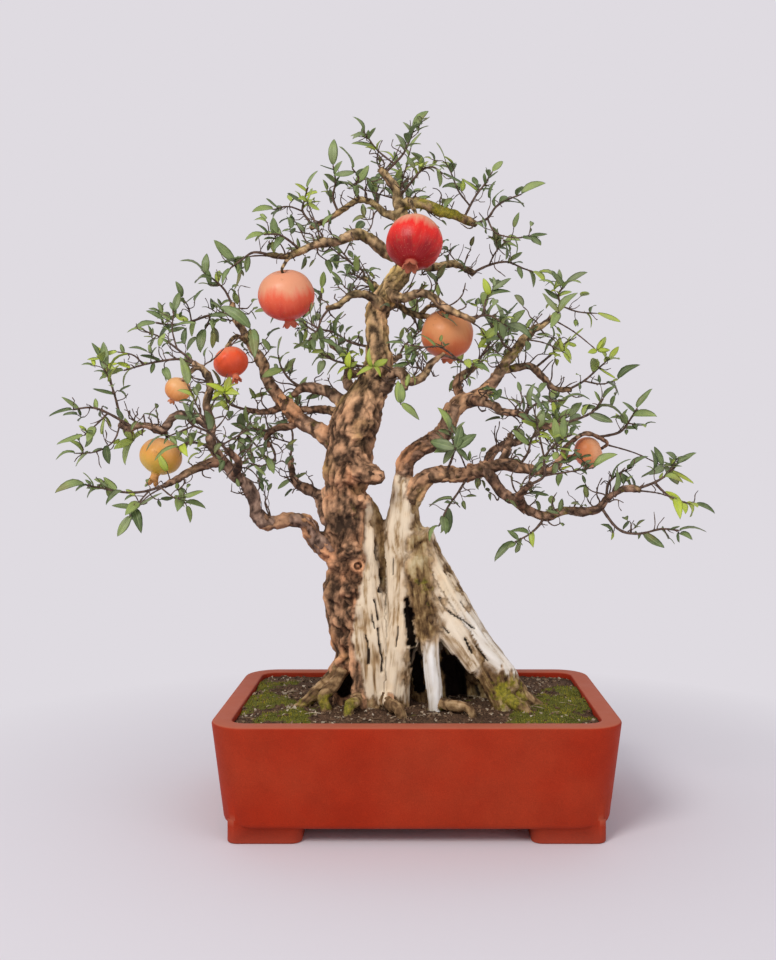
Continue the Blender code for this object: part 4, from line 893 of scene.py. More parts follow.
def outline(half_x, half_y, corner, z, corner_steps=8, side_steps=1):
    """Points round a rectangle with rounded corners."""
    points = []
    quarters = ((1, 1), (-1, 1), (-1, -1), (1, -1))
    for quarter, (right, back) in enumerate(quarters):
        middle = Vector((right * (half_x - corner), back * (half_y - corner), z))
        for step in range(corner_steps + 1):
            angle = (quarter + step / corner_steps) * math.pi / 2
            points.append(middle + Vector((math.cos(angle), math.sin(angle), 0)) * corner)
        next_right, next_back = quarters[(quarter + 1) % 4]
        middle = Vector((next_right * (half_x - corner), next_back * (half_y - corner), z))
        angle = (quarter + 1) * math.pi / 2
        end = middle + Vector((math.cos(angle), math.sin(angle), 0)) * corner
        start = points[-1]
        points += [start.lerp(end, step / side_steps) for step in range(1, side_steps)]
    return [POT_MIDDLE + point for point in points]


def pot_half_sizes(z):
    """Half sizes of the pot's outer walls at a height."""
    share = (POT_HEIGHT - z) / (POT_HEIGHT - FOOT_HEIGHT)
    return [side - taper * share for side, taper in zip(POT_TOP, POT_TAPER)]


def pot_ring(inset, z, **steps):
    half_x, half_y = pot_half_sizes(z)
    return outline(half_x - inset, half_y - inset, POT_CORNER - inset, z, **steps)


def arc(radius, start, end, steps=4):
    """Offsets on a quarter of a circle, from one angle to another in degrees."""
    angles = [math.radians(start + (end - start) * step / steps) for step in range(steps + 1)]
    return [(radius * math.cos(angle), radius * math.sin(angle)) for angle in angles]


def pot_profile(rounding):
    """Insets from the outer wall and heights, from the underside up and over the
    rim, then down the inside to the floor."""
    low, high = FOOT_HEIGHT, POT_HEIGHT
    edge, inner = rounding, 0.7 * rounding
    profile = [(BOTTOM_ROUNDING - x, low + BOTTOM_ROUNDING + z)
               for x, z in arc(BOTTOM_ROUNDING, -90, 0)]
    profile += [(0.0, low + (high - low) * share) for share in (0.3, 0.6, 0.85)]
    profile += [(edge - x, high - edge + z) for x, z in arc(edge, 0, 90)]
    profile += [(0.5 * WALL, high + 0.25 * MM)]
    profile += [(WALL - inner + x, high - inner + z) for x, z in reversed(arc(inner, 0, 90))]
    profile += [(WALL, SOIL_EDGE), (WALL, low + FLOOR)]
    return profile


def solid_block(half_x, half_y, corner, z_low, z_high, edge):
    """A block with round upright corners and softened lower edges, as a mesh."""
    skin = Skin()
    levels = [(edge, z_low), (0.3 * edge, z_low + 0.3 * edge), (0.0, z_low + edge), (0.0, z_high)]
    rings = []
    for inset, z in levels:
        ring = outline(half_x - inset, half_y - inset, corner - inset, z, corner_steps=5)
        rings.append([skin.point(point - POT_MIDDLE) for point in ring])
    for low, high in zip(rings, rings[1:]):
        skin.band(low, high)
    skin.face(list(reversed(rings[0])))
    skin.face(rings[-1])
    return skin.mesh("foot")


def helper(mesh):
    obj = bpy.data.objects.new("helper", mesh)
    bpy.context.scene.collection.objects.link(obj)
    return obj


def combined(mesh, others, operation):
    """The mesh joined with the others, or with them cut from it."""
    base = helper(mesh)
    group = bpy.data.collections.new("combined")
    for other in others:
        face_outwards(other.data)
        group.objects.link(other)
    modifier = base.modifiers.new(operation.lower(), "BOOLEAN")
    modifier.operation = operation
    modifier.operand_type = "COLLECTION"
    modifier.collection = group
    modifier.solver = "MANIFOLD"
    bpy.context.view_layer.update()
    made = evaluated_mesh(base)
    made.materials.clear()
    for obj in (base, *others):
        bpy.data.objects.remove(obj, do_unlink=True)
    bpy.data.collections.remove(group)
    return made


def pot_mesh(rounding):
    skin = Skin()
    rings = []
    for inset, z in pot_profile(rounding):
        rings.append([skin.point(point) for point in pot_ring(inset, z)])
    for low, high in zip(rings, rings[1:]):
        skin.band(low, high)
    skin.face(list(reversed(rings[0])))
    skin.face(rings[-1])
    mesh = skin.mesh("pot")
    face_outwards(mesh)
    half = [(far - near) / 2 for far, near in zip(FOOT_TO, FOOT_FROM)]
    middle = [(far + near) / 2 for far, near in zip(FOOT_TO, FOOT_FROM)]
    feet = []
    for across in (-1, 1):
        for along in (-1, 1):
            foot = solid_block(*half, FOOT_CORNER, 0.0, FOOT_HEIGHT + FLOOR / 2, 1.5 * MM)
            place = POT_MIDDLE + Vector((across * middle[0], along * middle[1], 0))
            foot.transform(Matrix.Translation(place))
            feet.append(helper(foot))
    mesh = combined(mesh, feet, "UNION")
    holes = []
    for across in (-1, 1):
        hole = solid_block(DRAIN_RADIUS, DRAIN_RADIUS, 0.98 * DRAIN_RADIUS, 0.0, 4 * FLOOR, 0.0)
        hole.transform(Matrix.Translation(POT_MIDDLE + Vector((across * DRAIN_AT, 0, 0))))
        holes.append(helper(hole))
    return combined(mesh, holes, "DIFFERENCE")


# The ground


MOSS_BEDS = (
    (-196, -20, 62, 1.0), (-150, -96, 50, 0.8), (176, -30, 58, 1.0), (150, -92, 62, 0.9),
    (196, 40, 40, 0.9), (-190, 70, 44, 0.7), (70, 110, 56, 0.6), (-60, 112, 44, 0.5),
)


def moss_at(place):
    """How mossy the ground is at a place, from 0 to 1."""
    at = (place - POT_MIDDLE) / MM
    found = 0.0
    for across, along, radius, strength in MOSS_BEDS:
        away = math.hypot(at.x - across, at.y - along) / radius
        found = max(found, strength * (1 - away))
    patchy = lumps(place, 22 * MM, 4)
    return smoothstep(0.12, 0.42, found + 0.35 * patchy)


def ground_height(place, share):
    """The surface of the ground: raised a little towards the middle, uneven, and
    higher where moss grows."""
    level = SOIL_EDGE + SOIL_RISE * smoothstep(1.0, 0.7, share)
    rough = 1.6 * MM * lumps(place, 34 * MM) + 0.7 * MM * lumps(place, 7 * MM, 4)
    return level + rough + 2.6 * MM * moss_at(place)


def ground_mesh():
    skin = Skin("moss")
    rings = []
    ring_count = 58
    inset = WALL + SOIL_GAP
    edge = pot_ring(inset, SOIL_EDGE, corner_steps=8, side_steps=52)
    for number in range(ring_count):
        share = 1 - number / ring_count
        ring = []
        for corner in edge:
            place = POT_MIDDLE + (corner - POT_MIDDLE) * share
            place.z = ground_height(Vector((place.x, place.y, 0)), share)
            ring.append(skin.point(place, moss=moss_at(place)))
        rings.append(ring)
    floor = FOOT_HEIGHT + FLOOR + SOIL_GAP
    base = [skin.point(p) for p in pot_ring(inset, floor, corner_steps=8, side_steps=52)]
    skin.band(base, rings[0])
    for low, high in zip(rings, rings[1:]):
        skin.band(low, high)
    skin.fan(rings[-1], skin.point(POT_MIDDLE + Vector((0, 0, SOIL_EDGE + SOIL_RISE))))
    skin.face(list(reversed(base)))
    return skin.mesh("ground")


def ground_spots(count, rng, margin):
    """Seeded places on the ground's surface, clear of the pot's walls."""
    half_x, half_y = (side - WALL - margin for side in pot_half_sizes(SOIL_EDGE))
    found = []
    while len(found) < count:
        x, y = rng.uniform(-half_x, half_x), rng.uniform(-half_y, half_y)
        share = max(abs(x) / half_x, abs(y) / half_y)
        beyond_x = max(0.0, abs(x) - (half_x - POT_CORNER + WALL))
        beyond_y = max(0.0, abs(y) - (half_y - POT_CORNER + WALL))
        if math.hypot(beyond_x, beyond_y) > POT_CORNER - WALL:
            continue
        place = POT_MIDDLE + Vector((x, y, 0))
        place.z = ground_height(place, share)
        found.append(place)
    return found


def grit_mesh(count):
    """Small broken grains lying on the bare ground."""
    skin = Skin("tone")
    rng = random.Random(21)
    corners = [(1, 1, 1), (-1, -1, 1), (-1, 1, -1), (1, -1, -1), (1.1, -0.2, 0), (-1, 0.3, 0.1)]
    for place in ground_spots(count, rng, 2 * MM):
        if moss_at(place) > 0.7 and rng.random() < 0.8:
            continue
        size = rng.uniform(0.7, 1.9) * MM * (1.5 if rng.random() < 0.08 else 1.0)
        turn = Quaternion(Vector((rng.gauss(0, 1), rng.gauss(0, 1), rng.gauss(0, 1))), rng.random() * 6)
        tone = rng.random()
        grain = bmesh.new()
        for corner in corners:
            shaped = Vector(corner) * size
            shaped.x *= rng.uniform(0.7, 1.1)
            shaped.z *= rng.uniform(0.5, 0.9)
            grain.verts.new(turn @ shaped + place + Vector((0, 0, 0.2 * size)))
        bmesh.ops.convex_hull(grain, input=grain.verts)
        loose = [vertex for vertex in grain.verts if not vertex.link_faces]
        bmesh.ops.delete(grain, geom=loose, context="VERTS")
        grain.verts.index_update()
        first = len(skin.points)
        for vertex in grain.verts:
            skin.point(vertex.co.copy(), tone=tone)
        for face in grain.faces:
            skin.face([first + vertex.index for vertex in face.verts])
        grain.free()
    return skin.mesh("grit")


def moss_mesh(count):
    """Short pointed moss shoots standing on the mossy ground."""
    skin = Skin("tone")
    rng = random.Random(22)
    for place in ground_spots(count, rng, 1 * MM):
        if moss_at(place) < rng.uniform(0.25, 0.9):
            continue
        tone = min(1.0, max(0.0, 0.45 + 0.5 * lumps(place, 18 * MM) + rng.uniform(-0.25, 0.25)))
        lean = Vector((rng.uniform(-0.5, 0.5), rng.uniform(-0.5, 0.5), 1.0)).normalized()
        height = rng.uniform(1.6, 3.6) * MM
        turn = rng.random() * 2
        foot = []
        for step in range(3):
            angle = turn + step * 2 * math.pi / 3
            out = Vector((math.cos(angle), math.sin(angle), 0)) * (0.55 * MM)
            foot.append(skin.point(place + out - Vector((0, 0, 0.6 * MM)), tone=tone))
        tip = skin.point(place + lean * height, tone=min(1.0, tone + 0.25))
        skin.fan(foot, tip)
        skin.face(list(reversed(foot)))
    return skin.mesh("moss")


def litter_mesh(count):
    """Dry straws and bits of dead root lying round the foot of the tree."""
    skin = Skin("tone", "grain")
    rng = random.Random(23)
    for place in ground_spots(count, rng, 14 * MM):
        way = Vector((rng.gauss(0, 1), rng.gauss(0, 0.7), 0)).normalized()
        bend = way.cross(Vector((0, 0, 1))) * rng.uniform(-0.4, 0.4)
        length = rng.uniform(6, 26) * MM
        radius = rng.uniform(0.3, 0.7) * MM
        start = place + Vector((0, 0, radius + 0.8 * MM))
        middle = start + (way + bend) * (0.5 * length) + Vector((0, 0, 0.9 * MM))
        end = start + way * length
        route = smooth_route([(start, radius), (middle, radius), (end, 0.6 * radius)], 3)
        loft(skin, route, 4, tone=rng.random())
    return skin.mesh("litter")


# The wood


BLEACHED = ("left strip", "middle column", "right slab", "slab fold", "stilt")
WEATHERED = ("tongue", "inner heart", "back ridge", "fork wood", "right leg")
# How white each pale route is at most: bleached wood, and a painted highlight on the stilt and the
# right slab
WHITEST = {"stilt": 1.0, "right slab": 0.75, "slab fold": 0.25}
# Where each pale route ends above the ground in brown wood: height in millimetres
PALE_FOOT = {"right slab": 156, "slab fold": 150, "stilt": 60}
# The edge between live bark and the pale strip beside it: (across, up), rising
LIVE_EDGE = (
    (-58, 90), (-63, 129), (-74, 173), (-80, 198), (-79, 223), (-74, 248), (-63, 297),
    (-66, 316), (-63, 363), (-60, 385),
)
# Brown places on the pale wood, as seen from the front: middle, radius, strength
BROWN_PLACES = (
    ((-1, 384), 6, 0.9), ((3, 362), 9, 0.9), ((5, 342), 11, 0.9), ((2, 316), 15, 1.0),
    ((2, 290), 18, 1.0), ((4, 262), 19, 1.0), ((8, 238), 18, 1.0), ((13, 214), 16, 1.0),
    ((14, 200), 9, 0.5), ((30, 314), 9, 1.0), ((43, 288), 8, 1.0), ((55, 264), 7, 0.9),
    ((68, 240), 5, 0.6), ((-50, 346), 11, 0.6), ((-46, 326), 9, 0.7), ((-10, 176), 10, 0.6),
    ((-9, 152), 11, 0.6), ((30, 240), 8, 0.5),
)
# Deep hollows, as seen from the front, sunk and darkened with painted shade: their points, half width
# and depth
HOLLOWS = (
    (((-13, 248), (-11, 234)), 2.6, 12), (((-11, 234), (-8, 212), (-6, 194)), 5.2, 24),
    (((-4, 182), (0, 160), (3, 138)), 6, 26), (((34, 180), (42, 168)), 3.5, 22),
    (((42, 168), (52, 156), (63, 142), (69, 132)), 11, 42), (((47, 148), (47, 132)), 11, 40),
    (((58, 142), (56, 130)), 11, 40), (((-90, 150), (-91, 136)), 9, 22),
)
# Round swellings of the live bark: (across, up, depth), radius
BURLS = (
    ((-100, 424, -2), 13), ((-80, 432, -24), 13), ((-92, 400, -22), 12), ((-66, 372, -22), 11),
    ((-100, 340, -14), 12), ((-80, 310, -20), 14), ((-100, 292, -4), 12),
    ((-104, 262, -8), 15), ((-82, 262, -22), 13), ((-94, 222, -12), 13),
    ((-78, 232, -24), 12), ((-88, 196, -14), 11), ((-92, 170, -8), 12), ((-60, 466, -20), 12),
    ((-84, 470, -14), 13), ((-46, 520, 4), 10), ((-56, 580, 6), 8), ((-34, 640, 0), 8),
    ((-60, 480, 26), 14), ((-104, 380, 20), 14), ((-92, 320, 26), 13),
)
# Splits in the dead wood, as seen from the front, cut in and darkened with painted shade: their points,
# half width
SPLITS = (
    (((-49.5, 320), (-50.5, 308), (-48, 298)), 1.9),
    (((-45.5, 286), (-44, 272), (-46, 258)), 1.6),
    (((-51.5, 248), (-49, 236), (-46.5, 224)), 1.5),
    (((-47, 212), (-45.5, 195), (-42, 176), (-43, 158)), 1.5),
    (((-64, 203), (-60.5, 186), (-60.5, 168)), 1.4),
    (((-55.5, 229), (-52, 213)), 1.3),
    (((29, 251), (35, 239), (44, 230)), 1.7),
    (((44, 230), (60, 222), (73, 213)), 1.4),
    (((32, 214), (40, 206)), 1.3), (((56, 246), (66, 232)), 1.2),
    (((-30, 300), (-31, 280)), 1.2), (((-24, 214), (-26, 190)), 1.3),
    (((74, 190), (88, 172)), 1.4), (((60, 200), (70, 182)), 1.3),
)
# Creases between the swellings of the live bark, sunk and darkened with painted shade, the first being
# the shadow under the knob: their points, half width
CREASES = (
    (((-86, 390), (-72, 382), (-56, 385), (-42, 396)), 3.0),
    (((-97, 402), (-94, 412), (-84, 418)), 1.5), (((-61, 384), (-72, 358), (-94, 342)), 2.0),
    (((-100, 358), (-90, 336), (-96, 312)), 1.6), (((-112, 287), (-96, 278), (-80, 275)), 2.2),
    (((-91, 277), (-75, 272), (-62, 282)), 1.8), (((-108, 243), (-93, 237), (-80, 246)), 2.2),
    (((-105, 214), (-91, 205), (-78, 212)), 2.0), (((-84, 318), (-66, 312)), 1.4),
    (((-110, 330), (-98, 322)), 1.5), (((-92, 188), (-84, 172), (-88, 156)), 1.8),
    (((-112, 262), (-100, 256)), 1.4), (((-88, 296), (-84, 288), (-86, 280)), 1.4),
    (((-92, 452), (-78, 444), (-62, 448)), 1.8), (((-70, 498), (-58, 478), (-60, 460)), 1.6),
    (((-40, 560), (-46, 536), (-40, 516)), 1.4), (((-28, 622), (-36, 598), (-30, 580)), 1.4),
)
# A knot whose grain runs round it
KNOT = (-73, 290), 10
# Mossy places on the wood: (across, up, depth), radius, strength
MOSS_ON_WOOD = (
    ((112, 128, -30), 30, 1.0), ((122, 112, -44), 22, 0.9), ((28, 112, -38), 11, 0.8),
    ((-112, 120, -36), 16, 0.7), ((-86, 118, -58), 20, 0.6), ((-134, 118, -14), 22, 0.5),
    ((4, 262, -22), 26, 0.35), ((40, 740, 8), 34, 0.9), ((8, 744, 4), 20, 0.6),
    ((-82, 360, -24), 16, 0.3), ((118, 544, 30), 24, 0.4), ((170, 356, -58), 26, 0.35),
)
THICK_LIMB = 8.5


def thick_start(route, least=THICK_LIMB):
    """The part of a limb or root that is thick enough to melt into the trunk."""
    kept = [route[0]]
    for point in route[1:]:
        if point[3] < least:
            break
        kept.append(point)
    if len(kept) == 1:
        kept.append(route[1])
    x, z, y, radius = kept[-1]
    kept[-1] = (x, z, y, 0.82 * radius)
    return kept


def largest_body(mesh):
    bm = bmesh.new()
    bm.from_mesh(mesh)
    left = set(bm.verts)
    bodies = []
    while left:
        body = {left.pop()}
        waiting = list(body)
        while waiting:
            for edge in waiting.pop().link_edges:
                for vertex in edge.verts:
                    if vertex in left:
                        left.remove(vertex)
                        body.add(vertex)
                        waiting.append(vertex)
        bodies.append(body)
    bodies.sort(key=len)
    for body in bodies[:-1]:
        bmesh.ops.delete(bm, geom=list(body), context="VERTS")
    bm.to_mesh(mesh)
    bm.free()
    return mesh


def melted_trunk(voxel):
    """The old trunk, its burls, and the thick starts of limbs and roots, as one skin."""
    skin = Skin("grain")
    for route in (LIVE_TRUNK, *OLD_WOOD.values()):
        loft(skin, smooth_route(placed(route), 6), 16)
    for route in (*LIMBS.values(), *ROOTS.values()):
        if route[0][3] >= THICK_LIMB:
            loft(skin, smooth_route(placed(thick_start(route)), 5), 12)
    base = helper(skin.mesh("old wood"))
    bm = bmesh.new()
    bm.from_mesh(base.data)
    for place, radius in BURLS:
        matrix = Matrix.Translation(seen(*place))
        bmesh.ops.create_icosphere(bm, subdivisions=2, radius=radius * MM, matrix=matrix)
    bmesh.ops.recalc_face_normals(bm, faces=bm.faces)
    bm.to_mesh(base.data)
    bm.free()
    remesh = base.modifiers.new("melt together", "REMESH")
    remesh.mode = "VOXEL"
    remesh.voxel_size = voxel
    soften = base.modifiers.new("soften", "SMOOTH")
    soften.factor = 0.5
    soften.iterations = 3
    bpy.context.view_layer.update()
    made = evaluated_mesh(base)
    bpy.data.objects.remove(base, do_unlink=True)
    for attribute in [a.name for a in made.attributes if a.name == "grain"]:
        made.attributes.remove(made.attributes[attribute])
    return largest_body(made)


class Grain:
    """Finds which old route a point of the skin belongs to, and its place there."""

    def __init__(self, routes):
        self.samples = []
        for number, route in enumerate(routes):
            points = smooth_route(placed(route), 8)
            frames = steady_frames([place for place, _ in points])
            length = 0.0
            for i, ((place, radius), axes) in enumerate(zip(points, frames)):
                if i:
                    length += (place - points[i - 1][0]).length
                self.samples.append((place, radius, axes, length, number))
        self.tree = kdtree.KDTree(len(self.samples))
        for i, sample in enumerate(self.samples):
            self.tree.insert(sample[0], i)
        self.tree.balance()

    def nearest(self, place):
        """The distance from the nearest route's surface, and the sample there."""
        return min(
            ((away - self.samples[i][1], i) for _, i, away in self.tree.find_n(place, 6))
        )

    def coordinates(self, place, i):
        start, _, (way, side, over), length, number = self.samples[i]
        out = place - start
        return Vector((out.dot(side) + 0.05 * number, out.dot(over), length + out.dot(way)))


def recess_of(tree, place, normal, rng_ways, reach):
    """How deep in a hollow a point of the wood lies, from 0 to 1, for painted shade."""
    hits = 0.0
    start = place + normal * (0.6 * MM)
    for way in rng_ways:
        aim = (normal * 1.1 + way).normalized()
        hit = tree.ray_cast(start, aim, reach)
        if hit[0] is not None:
            hits += 1.0 - 0.6 * hit[3] / reach
    return hits / len(rng_ways)


def moss_on_wood(place, normal):
    found = 0.0
    for centre, radius, strength in MOSS_ON_WOOD:
        away = (place - seen(*centre)).length / (radius * MM)
        found = max(found, strength * smoothstep(1.2, 0.3, away))
    return found * smoothstep(-0.5, 0.3, normal.z + 0.4 * lumps(place, 9 * MM))


def whiteness(name, up):
    """How white a route of dead wood is at a height in millimetres: bleached wood, with a painted
    highlight on the stilt and the right slab's lower part.
    """
    strength = WHITEST.get(name, 0.08)
    if name == "right slab":
        return strength * smoothstep(268, 215, up)
    if name == "stilt":
        return strength * smoothstep(204, 184, up)
    return strength


def edge_at(up):
    """Where the live bark ends beside the pale strip, at a height."""
    for (low_across, low), (high_across, high) in zip(LIVE_EDGE, LIVE_EDGE[1:]):
        if up <= high:
            return low_across + (high_across - low_across) * max(0.0, (up - low) / (high - low))
    return LIVE_EDGE[-1][0]


def near_lines(lines, across, up, soft):
    """How far inside the nearest of some drawn lines a place seen from the front
    lies, from 0 to 1, times the line's last number if it has one."""
    found = 0.0
    for points, half_width, *depth in lines:
        for (x, z), (end_x, end_z) in zip(points, points[1:]):
            along_x, along_z = end_x - x, end_z - z
            share = (across - x) * along_x + (up - z) * along_z
            share = min(1.0, max(0.0, share / (along_x**2 + along_z**2)))
            away = math.hypot(across - x - along_x * share, up - z - along_z * share)
            inside = smoothstep(1 + soft, 1 - soft, away / half_width)
            found = max(found, inside * (depth[0] if depth else 1.0))
    return found


def in_places(places, across, up, soft):
    """How far inside a list of round places a point seen from the front lies."""
    return max(
        strength * smoothstep(1.0 + soft, 1.0 - soft, math.hypot(across - x, up - z) / radius)
        for (x, z), radius, strength in places
    )


def kinds_of_wood(place, near, name, front, across, up):
    """How dead and pale, and how brown and weathered, the wood is at a place."""
    ragged = 3.5 * lumps(place, 16 * MM, 3)
    threads = lumps(Vector((place.x, place.y, 0.14 * place.z)), 4 * MM, 2)
    live, pale, brown = (near[kind][0] / MM for kind in ("live", "bleached", "weathered"))
    dead = smoothstep(-1.5, 1.5, live - pale + ragged)
    if across < -36:
        drawn = smoothstep(-2.0, 2.5, across - edge_at(up) + ragged) * smoothstep(374, 360, up)
        dead += (drawn - dead) * front
    worn = smoothstep(-5, 5, pale - brown + ragged) * smoothstep(-3, 3, live - brown + ragged)
    shifted = 6 * lumps(place + Vector((0.3, 0, 0)), 12 * MM, 3)
    places = in_places(BROWN_PLACES, across + shifted, up + shifted + 9 * threads, 0.5)
    worn = max(worn, front * places)
    foot = PALE_FOOT.get(name, 121)
    above_foot = smoothstep(foot - 5, foot + 5, up + 6 * lumps(place, 9 * MM, 2) + 12 * threads)
    dead *= above_foot * smoothstep(416, 388, up + 12 * lumps(place, 24 * MM) + 14 * threads)
    worn = max(worn, 0.8 * (1 - above_foot)) if across > -62 else worn
    return dead * (1 - worn), worn, up + 14 * threads


def bark_relief(place, grain):
    """The height of live bark, from 0 in its creases to 1 on its swellings."""
    tall = Vector((place.x, place.y, place.z * 0.7))
    cord = Vector((grain.x, grain.y, grain.z * 0.22))
    strand = Vector((grain.x / (9 * MM), grain.y / (9 * MM), grain.z / (30 * MM)))
    return (0.40 * swellings(tall, 28 * MM) + 0.28 * swellings(cord, 12 * MM)
            + 0.14 * swellings(tall, 9 * MM) + 0.08 * ridges(strand)
            + 0.10 * (0.5 + lumps(place, 4 * MM, 2)))


def dead_relief(place, grain):
    """The height of dead wood: cords along its grain with creases between them."""
    cord = Vector((grain.x, grain.y, grain.z * 0.10))
    fibre = Vector((grain.x / (9 * MM), grain.y / (9 * MM), grain.z / (90 * MM)))
    fibre += noise.noise_vector(place / (30 * MM)) * 0.5
    fine = Vector((fibre.x * 2.4, fibre.y * 2.4, fibre.z * 2.0))
    return (0.08 + 0.50 * swellings(cord, 17 * MM) + 0.24 * (1 - ridges(fibre) ** 3)
            + 0.10 * (1 - ridges(fine) ** 3) + 0.14 * lumps(place, 16 * MM, 2))


def trunk_mesh(voxel, relief):
    """The trunk's skin with its grain and bark in relief, and its marks."""
    mesh = melted_trunk(voxel)
    live = [LIVE_TRUNK, *(OLD_WOOD[name] for name in OLD_WOOD
                          if name not in BLEACHED and name not in WEATHERED)]
    live += [thick_start(route) for route in (*LIMBS.values(), *ROOTS.values())]
    groups = {
        "live": Grain(live),
        "bleached": Grain([OLD_WOOD[name] for name in BLEACHED]),
        "weathered": Grain([OLD_WOOD[name] for name in WEATHERED]),
    }
    tree = tree_of(mesh)
    rng = random.Random(5)
    ways = [Vector((rng.gauss(0, 1), rng.gauss(0, 1), rng.gauss(0, 1))).normalized()
            for _ in range(14)]
    names = ("deadwood", "weathered", "paleness_and_highlight", "painted_recess_shade", "moss", "relief", "grain")
    marks = {name: [] for name in names}
    eye = seen(0, EYE_HEIGHT, TREE_FORWARD - EYE_BACK)
    moved = []
    for vertex in mesh.vertices:
        place, normal = vertex.co.copy(), vertex.normal.copy()
        near = {name: group.nearest(place) for name, group in groups.items()}
        across, up = as_seen(place)
        depth = (place.y - POT_MIDDLE.y) / MM + TREE_FORWARD
        front = smoothstep(0.45, 0.05, normal.y) * smoothstep(26, 8, depth)
        name = BLEACHED[groups["bleached"].samples[near["bleached"][1]][4]]
        dead, worn, jagged_up = kinds_of_wood(place, near, name, front, across, up)
        (knot_across, knot_up), knot_radius = KNOT
        from_knot = math.hypot(across - knot_across, up - knot_up) / knot_radius
        knot = front * smoothstep(1.0, 0.7, from_knot)
        dead *= 1 - knot
        group = max((dead, "bleached"), (worn, "weathered"), (1 - dead - worn, "live"))[1]
        grain = groups[group].coordinates(place, near[group][1])
        height = bark_relief(place, grain) * (1 - dead) + dead_relief(place, grain) * dead
        height += (0.5 + 0.4 * math.cos(9 * from_knot) - height) * knot
        wander = 2.5 * lumps(place, 7 * MM, 2)
        split = front * near_lines(SPLITS, across, up, 0.35) * max(dead, worn)
        crease = front * near_lines(CREASES, across + wander, up - wander, 0.7) * (1 - dead - worn)
        hollow = near_lines(HOLLOWS, across + wander, up + wander, 0.25)
        hollow *= front * smoothstep(-37, -33, depth)
        rise = (6.4 * (1 - dead) + 4.2 * dead) * MM * (height - 0.5) - 3.2 * MM * crease
        # Painted shade: how closed in by more wood the point is, from rays cast from it.
        painted_recess_shade = recess_of(tree, place, normal, ways, 34 * MM)
        marks["deadwood"].append(dead)
        marks["weathered"].append(worn)
        # Whiter dead wood: bleached, with a painted highlight where it is whitest.
        marks["paleness_and_highlight"].append(dead * whiteness(name, jagged_up))
        # Painted shade: the strongest of the splits, the creases, the drawn hollows and the closed-in
        # places.
        marks["painted_recess_shade"].append(max(split, painted_recess_shade, 0.62 * crease, smoothstep(1, 14, hollow)))
        marks["moss"].append(moss_on_wood(place, normal))
        marks["relief"].append(height)
        marks["grain"].append(grain)
        inwards = (place - eye).normalized() * (hollow * MM)
        moved.append(place + normal * ((rise - 4.5 * MM * split) * relief) + inwards)
    for vertex, place in zip(mesh.vertices, moved):
        vertex.co = place
    for mark, values in marks.items():
        set_mark(mesh, mark, values)
    return mesh


LIMB_MOSS = {"crown right": 0.45, "right sweep": 0.2, "left middle": 0.2, "upper left": 0.3}
LIMB_PALENESS = {"left low": 0.7, "left low rise": 0.5, "left tip": 0.6, "left inner": 0.4,
                 "right leader": 0.35, "right sweep": 0.4, "right base": 0.15, "knob": 0.0}


def limb_relief(seed, radius):
    """Bark relief for a limb: broad lumps, swellings and fine flakes."""
    shift = Vector((seed * 0.37, seed * 0.11, 0))

    def relief(place, angle, length):
        bulge = 0.20 * radius * lumps(place + shift, max(3.0 * radius, 10 * MM), 2)
        knobs = 0.22 * radius * (swellings(place + shift, max(1.7 * radius, 8 * MM)) - 0.6)
        flake = 0.30 * MM * lumps(place, 3.5 * MM, 2)
        return bulge + knobs + flake

    return relief


def limbs_mesh():
    """All limbs, roots and fruit stalks as fine tubes that start in the trunk."""
    skin = Skin("deadwood", "weathered", "paleness_and_highlight", "painted_recess_shade", "moss", "relief", "grain")
    routes = {**LIMBS, **{f"root {name}": route for name, route in ROOTS.items()}}
    for number, (name, route) in enumerate(routes.items()):
        points = evenly_spaced(smooth_route(placed(route), 6), 3.4 * MM)
        inner = 0.93 if route[0][3] >= THICK_LIMB else 1.0
        points = [(p, r * (inner if r > THICK_LIMB * MM else 1.0)) for p, r in points]
        relief = limb_relief(number, points[len(points) // 2][1])
        first = len(skin.points)
        sides = 14 if route[1][3] > THICK_LIMB else 10
        root = name.startswith("root")
        loft(skin, points, sides, relief, weathered=0.7 if root else 0.0)
        mark_bark(skin, first, LIMB_MOSS.get(name, 0.0), LIMB_PALENESS.get(name, 0.3))
    for name in STALKS:
        points = evenly_spaced(smooth_route(stalk(name), 4), 2.5 * MM)
        first = len(skin.points)
        loft(skin, [(place, 0.72 * radius) for place, radius in points], 8,
             limb_relief(96, 3 * MM))
        mark_bark(skin, first, 0.0, 0.3)
    return skin.mesh("limbs")


def mark_bark(skin, first, moss, pale):
    """Marks the moss, the paleness and the height of the bark from one point on."""
    for i in range(first, len(skin.points)):
        place = skin.points[i]
        on_top = smoothstep(-0.2, 0.6, lumps(place, 15 * MM) + 0.3)
        skin.marks["moss"][i] = max(moss * on_top, moss_on_wood(place, Vector((0, 0, 1))))
        skin.marks["paleness_and_highlight"][i] = pale
        knots = 0.36 * swellings(place, 14 * MM) + 0.26 * swellings(place, 6 * MM)
        skin.marks["relief"][i] = 0.12 + knots + 0.10 * lumps(place, 22 * MM)


def stalk(name):
    """The points of a fruit's stalk, led into the fruit along its own axis."""
    centre, radius, crown_way, squat, _ = FRUITS[name]
    back = -Vector(crown_way).normalized() * (radius * squat * MM)
    ends = [(seen(*centre) + back * away, 3 * MM) for away in (1.10, 0.87)]
    return placed(STALKS[name]) + ends


# The fruits


FRUIT_ROWS = (
    (0.0, -0.86), (0.12, -0.90), (0.40, -0.92), (0.80, -0.62), (1.0, -0.05), (0.86, 0.52),
    (0.46, 0.86), (0.24, 0.93),
)
CROWN_FOOT = 0.93
CROWN_ROWS = ((0.19, 0.04), (0.19, 0.09), (0.22, 0.14), (0.26, 0.19))
CROWN_LOBES = 6


